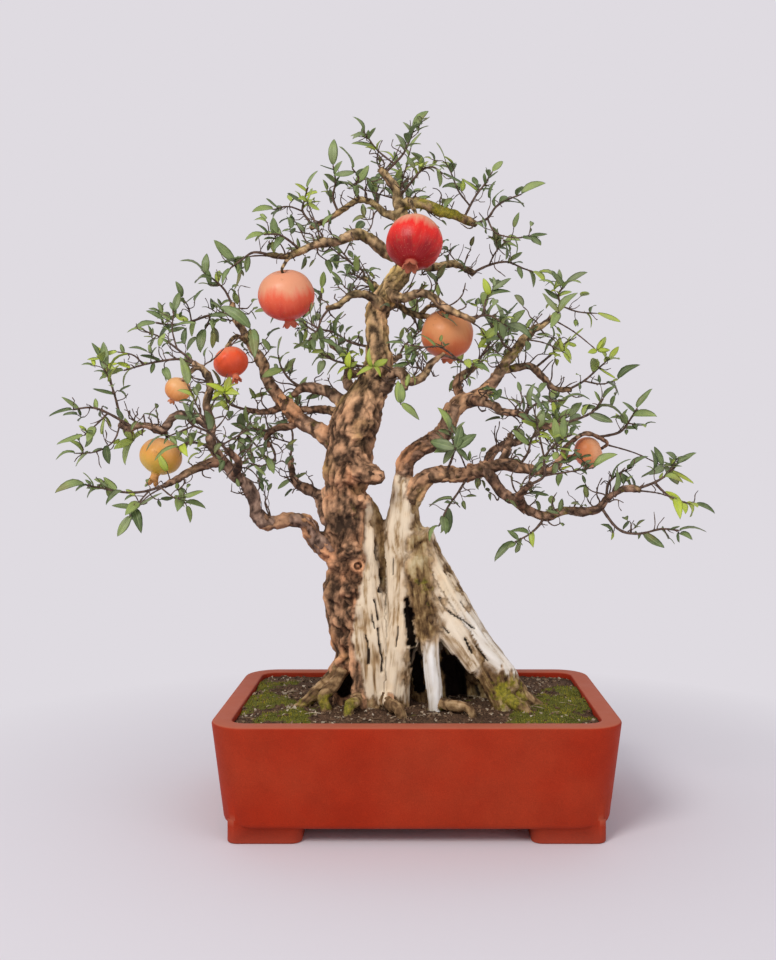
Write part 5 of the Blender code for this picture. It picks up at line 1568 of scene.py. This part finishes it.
def fruit_mesh(radius, squat, crown, seed, segments=56):
    """A fruit about its own axis, +Z towards the crown that was the flower."""
    skin = Skin("along", "streak", "crown")
    controls = [(Vector((out, 0, height * squat)), 0.0) for out, height in FRUIT_ROWS]
    rows = [place for place, _ in smooth_route(controls, 6)]
    shift = Vector((seed * 3.1, seed * 1.7, 0))
    rings = []
    for place in rows[1:]:
        ring = []
        for step in range(segments):
            angle = 2 * math.pi * step / segments
            way = Vector((math.cos(angle), math.sin(angle), 0))
            belly = max(0.0, 1 - (place.z / squat) ** 2)
            facet = 0.016 * belly * math.cos(CROWN_LOBES * angle + seed)
            uneven = 0.022 * belly * lumps(Vector((way.x, way.y, place.z)) + shift, 1.1, 2)
            out = place.x * (1 + facet + uneven)
            streak = Vector((way.x * 2.4, way.y * 2.4, place.z * 0.5)) + shift
            spot = Vector((way.x * out, way.y * out, place.z)) * radius
            ring.append(skin.point(spot, along=(place.z / squat + 1) / 2, streak=streak))
        rings.append(ring)
    outer = []
    inner = []
    for out, above in CROWN_ROWS:
        height = CROWN_FOOT * squat + above * crown
        lobe_share = smoothstep(0.04, 0.19, above) * min(crown, 1.5)
        for rings_here, inset in ((outer, 0.0), (inner, 0.04)):
            ring = []
            for step in range(segments):
                angle = 2 * math.pi * step / segments
                lobe = abs(math.cos(CROWN_LOBES * angle / 2 + seed)) ** 0.8
                tall = height + 0.13 * lobe_share * (lobe - 0.25)
                wide = out - inset + 0.04 * lobe_share * lobe
                spot = Vector((math.cos(angle) * wide, math.sin(angle) * wide, tall))
                streak = Vector((math.cos(angle), math.sin(angle), height))
                ring.append(skin.point(spot * radius, along=1.0, streak=streak, crown=1.0))
            rings_here.append(ring)
    for low, high in zip([*rings, *outer], [*rings[1:], *outer]):
        if low is not high:
            skin.band(low, high)
    skin.band(outer[-1], inner[-1])
    for low, high in zip(reversed(inner), list(reversed(inner))[1:]):
        skin.band(low, high)
    floor = Vector((0, 0, CROWN_FOOT * squat + 0.03)) * radius
    skin.fan(inner[0], skin.point(floor, along=1.0, crown=1.0, streak=Vector()))
    skin.fan(list(reversed(rings[0])), skin.point(rows[0] * radius, streak=Vector()))
    rng = random.Random(seed)
    for _ in range(16):
        angle = rng.random() * 2 * math.pi
        foot = Vector((math.cos(angle), math.sin(angle), 0)) * (0.11 * radius * rng.random())
        start = foot + floor * 0.98
        long = rng.uniform(0.08, 0.16) * crown * radius
        tip = start + foot * rng.uniform(0.2, 0.8) + Vector((0, 0, long))
        stamen = Skin("grain")
        loft(stamen, [(start, 0.016 * radius), (tip, 0.012 * radius)], 4)
        first = len(skin.points)
        for spot in stamen.points:
            skin.point(spot, along=1.0, streak=Vector(), crown=1.0)
        for face in stamen.faces:
            skin.face([first + corner for corner in face])
    return skin.mesh("fruit")


# Leaves and twigs


YOUNG_GROWTH = (
    ((-385, 546), 20), ((-238, 508), 22), ((-96, 540), 22), ((-60, 548), 26), ((-138, 751), 20),
    ((-48, 813), 20), ((2, 784), 20), ((66, 546), 22), ((184, 558), 26), ((228, 563), 30),
    ((170, 446), 18), ((330, 378), 24), ((346, 357), 24), ((-381, 446), 20), ((181, 630), 22),
    ((252, 545), 26), ((-270, 420), 18), ((-10, 500), 14),
)


def youth_of(place, rng):
    """How young and yellow a leaf at this place is, from 0 to 1."""
    across, up = as_seen(place)
    for (x, z), radius in YOUNG_GROWTH:
        if math.hypot(across - x, up - z) < radius:
            return rng.uniform(0.55, 1.0)
    if rng.random() < 0.05:
        return rng.uniform(0.6, 0.85)
    return rng.uniform(0.0, 0.5) ** 1.2


def point_along(points, part):
    """The place and direction at a part of the way along a twig."""
    lengths = [(b - a).length for a, b in zip(points, points[1:])]
    left = part * sum(lengths)
    for i, length in enumerate(lengths):
        if left <= length or i == len(lengths) - 1:
            way = (points[i + 1] - points[i]).normalized()
            return points[i] + way * min(left, length), way
        left -= length
    return points[-1], Vector((0, 0, 1))


def leaf_on(points, number, count, rng, turn):
    """The shape of a twig's leaf: the last at its tip, the others in pairs behind."""
    part = 1.0 - 0.62 * number / max(count, 2)
    place, way = point_along(points, part)
    side = way.orthogonal().normalized()
    side.rotate(Quaternion(way, number * 2.4 + rng.uniform(-0.5, 0.5) + turn))
    spread = 0.25 if number == 0 else rng.uniform(0.8, 1.15)
    aim = (way * math.cos(spread) + side * math.sin(spread)).normalized()
    aim = (aim + Vector((0, 0, rng.uniform(-0.30, 0.35)))).normalized()
    face = Vector((rng.uniform(-0.6, 0.6), rng.uniform(-1.1, -0.1), 1.0))
    face = (face - aim * face.dot(aim)).normalized()
    length = rng.uniform(*LEAF_LENGTHS) * MM
    width = length * LEAF_WIDTH * rng.uniform(0.9, 1.15)
    return place - aim * (0.4 * MM), aim, face, length, width


def leaf_tip(shape):
    base, way, face, length, _ = shape
    return base + way * length - face * (0.16 * length)


def half_width(u):
    """Half a leaf's width, in widths, from its stalk at 0 to its tip at 1."""
    return 0.5 * max(0.0, math.sin(math.pi * u**0.88)) ** 0.72


def add_leaf(skin, shape, tint, rng, twig_slot=0, leaf_slot=1):
    """A closed, arched blade with a folded rib and a waved edge, on a short stalk."""
    base, way, face, length, width = shape
    across = way.cross(face)
    wave = rng.uniform(0.0, 0.045) * width
    phase = rng.uniform(0, 6)
    twist = rng.uniform(-0.45, 0.45)
    arch = rng.uniform(-0.08, 0.20) * length
    fold = rng.uniform(0.05, 0.22) * width
    broad = length > 17 * MM
    shares = (0.07, 0.20, 0.38, 0.58, 0.77, 0.92) if broad else (0.09, 0.30, 0.58, 0.85)
    columns = (-1.0, -0.5, 0.0, 0.5, 1.0) if broad else (-1.0, 0.0, 1.0)
    above = []
    below = []
    for u in shares:
        tops = []
        for v in columns:
            out = v * half_width(u) * width
            rise = abs(v) * fold * (1.2 - 0.6 * u) + wave * math.sin(9 * u + phase) * abs(v)
            turned = across * math.cos(twist * u) + face * math.sin(twist * u)
            spot = base + way * (u * length) + turned * out
            spot += face * (rise - 0.16 * length * u * u + arch * math.sin(math.pi * u))
            tops.append(skin.point(spot, tint=tint, blade=(u, v, 0.0)))
        above.append(tops)
        under = [tops[0]]
        for v, top in zip(columns[1:-1], tops[1:-1]):
            spot = skin.points[top] - face * BLADE_THICKNESS
            under.append(skin.point(spot, tint=tint, blade=(u, v, 1.0)))
        below.append([*under, tops[-1]])
    tip = skin.point(leaf_tip(shape), tint=tint, blade=(1.0, 0.0, 0.0))
    heel = skin.point(base + way * (0.02 * length), tint=tint, blade=(0.0, 0.0, 0.0))
    for rows, flip in ((above, False), (below, True)):
        for low, high in zip(rows, rows[1:]):
            for i in range(len(columns) - 1):
                corners = (low[i], low[i + 1], high[i + 1], high[i])
                skin.face(corners[::-1] if flip else corners, leaf_slot)
        for i in range(len(columns) - 1):
            first = (heel, rows[0][i + 1], rows[0][i])
            last = (rows[-1][i], rows[-1][i + 1], tip)
            skin.face(first[::-1] if flip else first, leaf_slot)
            skin.face(last[::-1] if flip else last, leaf_slot)
    thin = 0.42 * MM
    foot = base - way * (1.6 * MM)
    join = base + way * (0.10 * length)
    loft(skin, [(foot, thin), (join, 0.8 * thin)], 3, slot=twig_slot)


def in_a_fruit(points, margin):
    for centre, radius, *_ in FRUITS.values():
        middle = seen(*centre)
        if any((point - middle).length < radius * MM + margin for point in points):
            return True
    return False


def within_reach(place, margin=4 * MM):
    low, high = MODEL_BOX
    return all(low[i] - margin < place[i] < high[i] + margin for i in range(3))


def is_clear(shape, wood):
    """True if a leaf of this shape touches neither fruit nor wood."""
    base, way, face, length, _ = shape
    tip = leaf_tip(shape)
    middle = base + way * (0.5 * length) - face * (0.04 * length)
    if in_a_fruit((middle, tip), 2 * MM) or not within_reach(tip):
        return False
    start = base + way * (3 * MM)
    reach = tip - start
    return wood.ray_cast(start, reach.normalized(), reach.length)[0] is None


def node_points(name):
    """A search tree of the plain model's corners, to find its leaves again."""
    corners = [NODES[name].matrix_world @ vertex.co for vertex in NODES[name].data.vertices]
    tree = kdtree.KDTree(len(corners))
    for i, corner in enumerate(corners):
        tree.insert(corner, i)
    tree.balance()
    return tree


def away_from(tree, place):
    return tree.find(place)[2]


def as_modelled(points, rooted, tree):
    """The twig's points as bent and started in the plain model."""
    bends = []
    for bend in (0, -7, 7, -14, 14):
        shift = Vector((0, bend, 0.3 * bend)) * MM
        bends.append([points[0], *(point + shift for point in points[1:])])
    bent = min(bends, key=lambda route: round(away_from(tree, route[-1]), 5))
    if not rooted:
        return bent
    onward = (bent[1] - bent[0]).normalized()
    starts = [bent[0] + onward * (0.5 * trim * MM) for trim in range(52)]
    starts = [start for start in starts if (start - bent[1]).length >= 4 * MM]
    return [min(starts, key=lambda start: away_from(tree, start)), *bent[1:]]


def modelled_leaf(points, number, count, seed, tree):
    """The leaf's shape in the plain model, or None if it has none there."""
    for attempt in range(7):
        rng = random.Random(seed * 1000 + number * 10 + attempt)
        shape = leaf_on(points, number, count, rng, attempt * 0.9)
        if away_from(tree, leaf_tip(shape)) < 1.5 * MM:
            return shape
    return None


def free_leaf(points, number, count, seed, wood, sizes):
    """A leaf that the plain model leaves out, set where it touches nothing."""
    for attempt in range(6):
        rng = random.Random(seed * 1000 + number * 10 + attempt)
        base, way, face, length, width = leaf_on(points, number, count, rng, attempt * 0.9)
        size = rng.uniform(*sizes)
        shape = base, way, face, length * size, 1.15 * width * size
        if is_clear(shape, wood):
            return shape
    return None


def kinked(start, way, length, rng):
    """A short crooked twig."""
    knees = 2 if length < 14 * MM else 3 if length < 30 * MM else 5
    points = [start]
    for _ in range(knees):
        bend = Vector((rng.gauss(0, 1), rng.gauss(0, 1), rng.gauss(0, 1) + 0.25)) * 0.5
        way = (way + bend).normalized()
        points.append(points[-1] + way * (length / knees))
    return points


def side_twigs(points, number, rng, lengths):
    """Short twigs that leave a longer one at seeded places."""
    found = []
    for _ in range(number):
        place, way = point_along(points, rng.uniform(0.12, 0.97))
        side = way.orthogonal().normalized()
        side.rotate(Quaternion(way, rng.random() * 2 * math.pi))
        aim = (way * 0.5 + side + Vector((0, 0, 0.3))).normalized()
        twig = kinked(place, aim, rng.uniform(*lengths) * MM, rng)
        if not in_a_fruit(twig, 3 * MM) and within_reach(twig[-1], 0.0):
            found.append(twig)
    return found


def twig(skin, points, thick, thin, sides=6):
    last = len(points) - 1
    route = [(p, (thick + (thin - thick) * i / last) * MM) for i, p in enumerate(points)]
    spaced = evenly_spaced(smooth_route(route, 4), 3.6 * MM)

    def relief(place, angle, length):
        return 0.16 * MM * lumps(place, 5 * MM, 2) + 0.22 * MM * smoothstep(
            0.55, 1.0, math.cos(length / (2.1 * MM)))

    loft(skin, spaced, sides, relief)


def leafy_end(limb, leaves, seed):
    """The twigs at the end of a limb that carries its leaves by a rule: one
    leads on, and the others fork from it."""
    rng = random.Random(seed)
    points = [place for place, _ in placed(LIMBS[limb])]
    onward = (points[-1] - points[-2]).normalized()
    main = [points[-1] - onward * (2 * MM)]
    for _ in range(4):
        bend = Vector((rng.uniform(-1, 1), rng.uniform(-0.6, 1), rng.uniform(-0.5, 0.8)))
        main.append(main[-1] + (onward * 1.3 + bend * 0.55).normalized() * (24 * MM))
    twigs = [(round(0.4 * leaves), main)]
    side = onward.orthogonal().normalized()
    for root, length in ((1, 30), (2, 27), (3, 20)):
        side.rotate(Quaternion(onward, 2.2))
        way = (onward * 0.62 + side).normalized()
        bend = Vector((0, 0, rng.uniform(4, 10))) * MM
        end = main[root] + way * (1.8 * length * MM) + bend
        twigs.append((round(0.2 * leaves), [main[root], end]))
    return twigs


def sprig_routes():
    routes = [
        [(count, [seen(*point) for point in points]) for count, points in twigs]
        for twigs in SPRAYS
    ]
    return routes + [
        leafy_end(limb, leaves, 900 + number)
        for number, (limb, leaves) in enumerate(LEAFY_ENDS.items())
    ]


def sprig_mesh(node, twigs, seed, wood, fullness):
    """One leafy stem: its twigs, the model's leaves, and the small ones between."""
    skin = Skin("grain", "tint", "blade")
    tree = node_points(node)
    rng = random.Random(seed)
    for twig_number, (count, drawn) in enumerate(twigs):
        points = as_modelled(drawn, twig_number == 0, tree)
        thick, thin = (1.75, 0.9) if twig_number == 0 else (1.2, 0.7)
        twig(skin, [drawn[0], *points[1:]], thick, thin)
        leaf_seed = seed * 10 + twig_number
        for number in range(count):
            shape = None
            if number % 2 == 0:
                shape = modelled_leaf(points, number, count, leaf_seed, tree)
            if shape is None and number % 4 < 2:
                shape = free_leaf(points, number, count, leaf_seed, wood, (0.5, 0.85))
            if shape:
                add_leaf(skin, shape, youth_of(leaf_tip(shape), rng), rng)
        length = sum((b - a).length for a, b in zip(points, points[1:]))
        for small in side_twigs(points, round(fullness * length / (10 * MM)), rng, (8, 26)):
            twig(skin, small, 0.75, 0.42, 4)
            for number in range(rng.choice((0, 0, 0, 1, 2, 3))):
                seed_here = rng.randrange(10**6)
                shape = free_leaf(small, number, 4, seed_here, wood, (0.36, 0.82))
                if shape:
                    add_leaf(skin, shape, youth_of(leaf_tip(shape), rng), rng)
    return skin.mesh(node)


# Tufts that stand out: their foot (across, up, depth), how many leaves, their
# length in millimetres, their width as a share of it, and how young they are
TUFTS = (
    ((-385, 540, -30), 5, 24, 0.36, 1.0), ((-238, 506, -72), 5, 24, 0.42, 1.0),
    ((-84, 536, -45), 4, 22, 0.42, 0.85), ((-54, 538, -50), 4, 22, 0.42, 0.8),
    ((-206, 584, -66), 3, 42, 0.30, 0.2), ((-20, 492, -60), 3, 34, 0.42, 0.45),
    ((48, 436, -74), 5, 30, 0.42, 0.1), ((306, 414, -30), 5, 34, 0.32, 0.1),
    ((328, 370, -26), 3, 26, 0.42, 0.95), ((-350, 362, -40), 2, 38, 0.26, 0.2),
    ((224, 558, -20), 4, 22, 0.40, 0.85), ((182, 556, -14), 4, 22, 0.40, 0.75),
    ((-352, 446, -50), 4, 30, 0.42, 0.55), ((176, 604, -10), 3, 36, 0.34, 0.35),
    ((-136, 742, -16), 4, 20, 0.42, 0.75), ((-226, 668, -20), 3, 32, 0.34, 0.3),
    ((176, 470, -40), 4, 26, 0.40, 0.35), ((86, 574, -30), 4, 22, 0.44, 0.7),
)


def add_tuft(skin, tuft, wood, rng):
    """A bunch of leaves at the end of a twig that grows from the nearest wood."""
    place, count, length, broad, youth = tuft
    base = seen(*place)
    foot = wood.find_nearest(base)[0]
    twig(skin, [foot, foot.lerp(base, 0.5) + Vector((0, 0, 3 * MM)), base], 1.1, 0.6, 5)
    for number in range(count):
        angle = 2 * math.pi * (number + rng.uniform(-0.45, 0.45)) / count + rng.uniform(0, 1)
        aim = Vector((math.cos(angle), rng.uniform(-1.0, 0.5), 0.8 * math.sin(angle) + 0.25))
        aim.normalize()
        face = Vector((rng.uniform(-0.8, 0.8), -1.0, rng.uniform(-0.2, 1.4)))
        face = (face - aim * face.dot(aim)).normalized()
        long = length * rng.uniform(0.55, 1.1) * MM
        shape = base, aim, face, long, broad * long
        if is_clear(shape, wood):
            add_leaf(skin, shape, min(1.0, youth * rng.uniform(0.8, 1.1)), rng)


def fine_twigs_mesh(wood, fullness):
    """Bare and sparsely leaved twigs along the limbs, and the tufts."""
    skin = Skin("grain", "tint", "blade")
    rng = random.Random(77)
    for name, route in LIMBS.items():
        thin = [place for place, radius in placed(route) if radius < 9.5 * MM]
        if len(thin) < 2 or name == "knob":
            continue
        length = sum((b - a).length for a, b in zip(thin, thin[1:]))
        for small in side_twigs(thin, round(fullness * length / (9 * MM)), rng, (12, 46)):
            twig(skin, small, 1.1, 0.55, 5)
            forks = side_twigs(small[1:], rng.choice((0, 1, 1, 2)), rng, (8, 22))
            for fork in forks:
                twig(skin, fork, 0.6, 0.42, 4)
            for stem in (small, *forks):
                for number in range(rng.choice((0, 0, 0, 0, 1, 2))):
                    shape = free_leaf(stem, number, 4, rng.randrange(10**6), wood, (0.35, 0.8))
                    if shape:
                        add_leaf(skin, shape, youth_of(leaf_tip(shape), rng), rng)
    for tuft in TUFTS:
        add_tuft(skin, tuft, wood, rng)
    return skin.mesh("fine twigs")


# The stage


def add_camera(scene):
    data = bpy.data.cameras.new("front")
    data.sensor_fit = "VERTICAL"
    data.sensor_height = SENSOR
    data.lens = SENSOR * FOCUS / PICTURE_HEIGHT
    data.shift_x = -AXIS_RIGHT / PICTURE_HEIGHT
    data.shift_y = -AXIS_UP / PICTURE_HEIGHT
    camera = bpy.data.objects.new("front", data)
    eye = POT_MIDDLE + Vector((0, -EYE_BACK, EYE_HEIGHT + TREE_RAISED)) * MM
    camera.matrix_world = Matrix.Translation(eye) @ Matrix.Rotation(math.pi / 2, 4, "X")
    scene.collection.objects.link(camera)
    scene.camera = camera


def add_light(name, place, aim, size, power, colour=(1.0, 1.0, 1.0)):
    data = bpy.data.lights.new(name, "AREA")
    data.shape = "DISK"
    data.size = size
    data.energy = power
    data.color = colour
    light = bpy.data.objects.new(name, data)
    way = Vector(aim) - Vector(place)
    light.matrix_world = Matrix.Translation(place) @ way.to_track_quat("-Z", "Y").to_matrix().to_4x4()
    bpy.context.scene.collection.objects.link(light)


def add_world(scene, backdrop, ambient):
    world = bpy.data.worlds.new("backdrop")
    world.use_nodes = True
    nodes, links = world.node_tree.nodes, world.node_tree.links
    seen_sky = nodes["Background"]
    seen_sky.inputs["Color"].default_value = (*backdrop, 1.0)
    light_sky = nodes.new("ShaderNodeBackground")
    light_sky.inputs["Color"].default_value = (*backdrop, 1.0)
    light_sky.inputs["Strength"].default_value = ambient
    path = nodes.new("ShaderNodeLightPath")
    choose = nodes.new("ShaderNodeMixShader")
    links.new(path.outputs["Is Camera Ray"], choose.inputs[0])
    links.new(light_sky.outputs[0], choose.inputs[1])
    links.new(seen_sky.outputs[0], choose.inputs[2])
    links.new(choose.outputs[0], nodes["World Output"].inputs["Surface"])
    scene.world = world


def add_floor(backdrop):
    """A pale floor that turns into the plain backdrop away from the pot."""
    bm = bmesh.new()
    bmesh.ops.create_circle(bm, cap_ends=True, segments=96, radius=FLOOR_RADIUS)
    mesh = bpy.data.meshes.new("floor")
    bm.to_mesh(mesh)
    bm.free()
    r = Recipe("floor", 0.9, specular=0.1)
    r.done(shade(backdrop, 1.05))
    length = r.tree.nodes.new("ShaderNodeVectorMath")
    length.operation = "LENGTH"
    r.give(length.inputs[0], r.place)
    glow = r.tree.nodes.new("ShaderNodeEmission")
    glow.inputs["Color"].default_value = (*backdrop, 1.0)
    blend = r.tree.nodes.new("ShaderNodeMixShader")
    r.give(blend.inputs[0], r.span(length.outputs["Value"], 0.25, 0.85))
    r.tree.links.new(r.shader.outputs[0], blend.inputs[1])
    r.tree.links.new(glow.outputs[0], blend.inputs[2])
    r.tree.links.new(blend.outputs[0], r.tree.nodes["Material Output"].inputs["Surface"])
    mesh.materials.append(r.material)
    floor = bpy.data.objects.new("floor", mesh)
    floor.location = (POT_MIDDLE.x, POT_MIDDLE.y, -0.2 * MM)
    bpy.context.scene.collection.objects.link(floor)


# The add-on


class BonsaiSettings(PropertyGroup):
    """Sizes and colours of the finish that a user may change."""

    skin_detail: FloatProperty(
        name="Skin detail", description="Size of the smallest facets of the old trunk",
        default=2.1 * MM, min=1.2 * MM, max=8 * MM, subtype="DISTANCE", unit="LENGTH")
    relief: FloatProperty(
        name="Relief", description="Height of the grain and bark, 1 as it was seen",
        default=1.0, min=0.0, max=2.0)
    rim_rounding: FloatProperty(
        name="Rim rounding", description="Radius of the outer edge of the pot's rim",
        default=3 * MM, min=0.5 * MM, max=8 * MM, subtype="DISTANCE", unit="LENGTH")
    twig_fullness: FloatProperty(
        name="Twig fullness", description="How many small twigs grow between the leaves",
        default=1.0, min=0.0, max=2.0)
    grit: IntProperty(
        name="Grit", description="Number of grains on the ground", default=2600, min=0)
    moss_shoots: IntProperty(
        name="Moss shoots", description="Number of tries at a moss shoot on the ground",
        default=15000, min=0)
    litter: IntProperty(
        name="Litter", description="Number of dry straws on the ground", default=90, min=0)
    clay: FloatVectorProperty(
        name="Clay", description="Colour of the pot", subtype="COLOR",
        default=(0.378, 0.026, 0.006), min=0, max=1)
    soil: FloatVectorProperty(
        name="Soil", description="Colour of the bare ground", subtype="COLOR",
        default=(0.085, 0.048, 0.028), min=0, max=1)
    moss: FloatVectorProperty(
        name="Moss", description="Colour of the moss", subtype="COLOR",
        default=(0.135, 0.138, 0.022), min=0, max=1)
    bark: FloatVectorProperty(
        name="Bark", description="Colour of the live bark", subtype="COLOR",
        default=(0.45, 0.248, 0.136), min=0, max=1)
    deadwood: FloatVectorProperty(
        name="Dead wood", description="Colour of the bleached dead wood", subtype="COLOR",
        default=(0.88, 0.72, 0.51), min=0, max=1)
    leaf_dark: FloatVectorProperty(
        name="Old leaf", description="Colour of the darkest leaves", subtype="COLOR",
        default=(0.078, 0.115, 0.038), min=0, max=1)
    leaf_mid: FloatVectorProperty(
        name="Leaf", description="Colour of most leaves", subtype="COLOR",
        default=(0.210, 0.280, 0.100), min=0, max=1)
    leaf_young: FloatVectorProperty(
        name="Young leaf", description="Colour of the young leaves", subtype="COLOR",
        default=(0.45, 0.54, 0.05), min=0, max=1)
    backdrop: FloatVectorProperty(
        name="Backdrop", description="Colour behind the tree", subtype="COLOR",
        default=(0.738, 0.708, 0.753), min=0, max=1)


class MakePot(Operator):
    """Make the clay pot with its rounded edges, feet and drain holes"""

    bl_idname = "bonsai.make_pot"
    bl_label = "Make the pot"

    def execute(self, context):
        look = context.scene.bonsai
        mesh = pot_mesh(look.rim_rounding)
        add_piece("pot_clay", mesh, [clay_material(look.clay)], ("pot",))
        return {"FINISHED"}


class MakeGround(Operator):
    """Make the ground in the pot with its grit, moss and dry litter"""

    bl_idname = "bonsai.make_ground"
    bl_label = "Make the ground"

    def execute(self, context):
        look = context.scene.bonsai
        ground = ground_material(look.soil, look.moss)
        add_piece("soil_ground", ground_mesh(), [ground], ("soil",))
        add_piece("soil_grit", grit_mesh(look.grit), [grit_material(look.soil)], (), True)
        add_piece("soil_moss", moss_mesh(look.moss_shoots), [moss_material(look.moss)])
        add_piece("soil_litter", litter_mesh(look.litter), [litter_material()])
        return {"FINISHED"}


class MakeWood(Operator):
    """Make the old trunk, the limbs and roots, and the fine bare twigs"""

    bl_idname = "bonsai.make_wood"
    bl_label = "Make the wood"

    def execute(self, context):
        look = context.scene.bonsai
        wood = wood_material(look.bark, look.deadwood, look.moss)
        trunk = trunk_mesh(look.skin_detail, look.relief)
        if len(trunk.polygons) < 1000:
            raise RuntimeError("the trunk's skin came out empty")
        add_piece("trunk_skin", trunk, [wood], ("trunk",))
        limbs = limbs_mesh()
        add_piece("limbs", limbs, [wood], ("trunk",))
        twigs = fine_twigs_mesh(tree_of(trunk, limbs), look.twig_fullness)
        add_piece("fine_twigs", twigs, foliage_materials(look))
        return {"FINISHED"}


class MakeFruits(Operator):
    """Make the seven fruits with their crowns"""

    bl_idname = "bonsai.make_fruits"
    bl_label = "Make the fruits"

    def execute(self, context):
        for number, (name, form) in enumerate(FRUITS.items()):
            centre, radius, crown_way, squat, crown = form
            mesh = fruit_mesh(radius * MM, squat, crown, number + 1)
            slot, *colours = FRUIT_COLOURS[name]
            face_outwards(mesh)
            mesh.shade_smooth()
            mesh.materials.append(fruit_material(name, *colours))
            fruit = bpy.data.objects.new(f"{name}_skin", mesh)
            turn = Vector((0, 0, 1)).rotation_difference(Vector(crown_way))
            fruit.matrix_world = Matrix.Translation(seen(*centre)) @ turn.to_matrix().to_4x4()
            context.scene.collection.objects.link(fruit)
            context.view_layer.update()
            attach(fruit, BODY)
            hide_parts(name)
        return {"FINISHED"}


class MakeSprigs(Operator):
    """Make the leafy sprigs, each in the place of the model's plain one"""

    bl_idname = "bonsai.make_sprigs"
    bl_label = "Make the sprigs"

    def execute(self, context):
        look = context.scene.bonsai
        wood = tree_of(bpy.data.objects["trunk_skin"].data, bpy.data.objects["limbs"].data)
        materials = foliage_materials(look)
        for number, twigs in enumerate(sprig_routes()):
            node = f"spray_{number + 1:02}"
            mesh = sprig_mesh(node, twigs, number + 1, wood, look.twig_fullness)
            add_piece(f"sprig_{number + 1:02}", mesh, materials, (node,))
        return {"FINISHED"}


class MakeStage(Operator):
    """Set the camera, the lights, the floor and the plain backdrop"""

    bl_idname = "bonsai.make_stage"
    bl_label = "Make the stage"

    def execute(self, context):
        scene = context.scene
        backdrop = tuple(scene.bonsai.backdrop)
        scene.view_settings.view_transform = "Standard"
        add_camera(scene)
        add_world(scene, backdrop, 0.72)
        add_floor(backdrop)
        aim = (POT_MIDDLE.x, POT_MIDDLE.y, 0.40)
        add_light("window", (-1.5, -2.3, 2.5), aim, 1.4, 62, (1.0, 0.98, 0.95))
        add_light("fill", (2.4, -2.2, 1.2), aim, 2.2, 16, (0.95, 0.97, 1.0))
        return {"FINISHED"}


OPERATORS = (MakePot, MakeGround, MakeWood, MakeFruits, MakeSprigs, MakeStage)


class BonsaiPanel(Panel):
    """The finish's settings and the buttons that make its pieces"""

    bl_idname = "VIEW3D_PT_bonsai"
    bl_label = "Pomegranate bonsai"
    bl_space_type = "VIEW_3D"
    bl_region_type = "UI"
    bl_category = "Bonsai"

    def draw(self, context):
        settings = context.scene.bonsai
        for name in BonsaiSettings.__annotations__:
            self.layout.prop(settings, name)
        for operator in OPERATORS:
            self.layout.operator(operator.bl_idname)


CLASSES = (BonsaiSettings, *OPERATORS, BonsaiPanel)


def register():
    for made in CLASSES:
        bpy.utils.register_class(made)
    bpy.types.Scene.bonsai = PointerProperty(type=BonsaiSettings)


def unregister():
    del bpy.types.Scene.bonsai
    for made in reversed(CLASSES):
        bpy.utils.unregister_class(made)


def foliage_materials(look):
    names = ("twig bark", "leaf")
    if all(name in bpy.data.materials for name in names):
        return [bpy.data.materials[name] for name in names]
    # The twig bark is a darker, greyer copy of the live bark, partly as painted shade for thin twigs
    # seen against the bright backdrop.
    red, green, blue = look.bark
    twig_bark = twig_material((0.27 * red, 0.31 * green, 0.40 * blue))
    return [twig_bark, leaf_material(look.leaf_dark, look.leaf_mid, look.leaf_young)]


def main():
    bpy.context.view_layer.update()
    register()
    bpy.ops.bonsai.make_pot()
    bpy.ops.bonsai.make_ground()
    bpy.ops.bonsai.make_wood()
    bpy.ops.bonsai.make_fruits()
    bpy.ops.bonsai.make_sprigs()
    bpy.ops.bonsai.make_stage()
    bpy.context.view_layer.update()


if __name__ == "__main__":
    main()
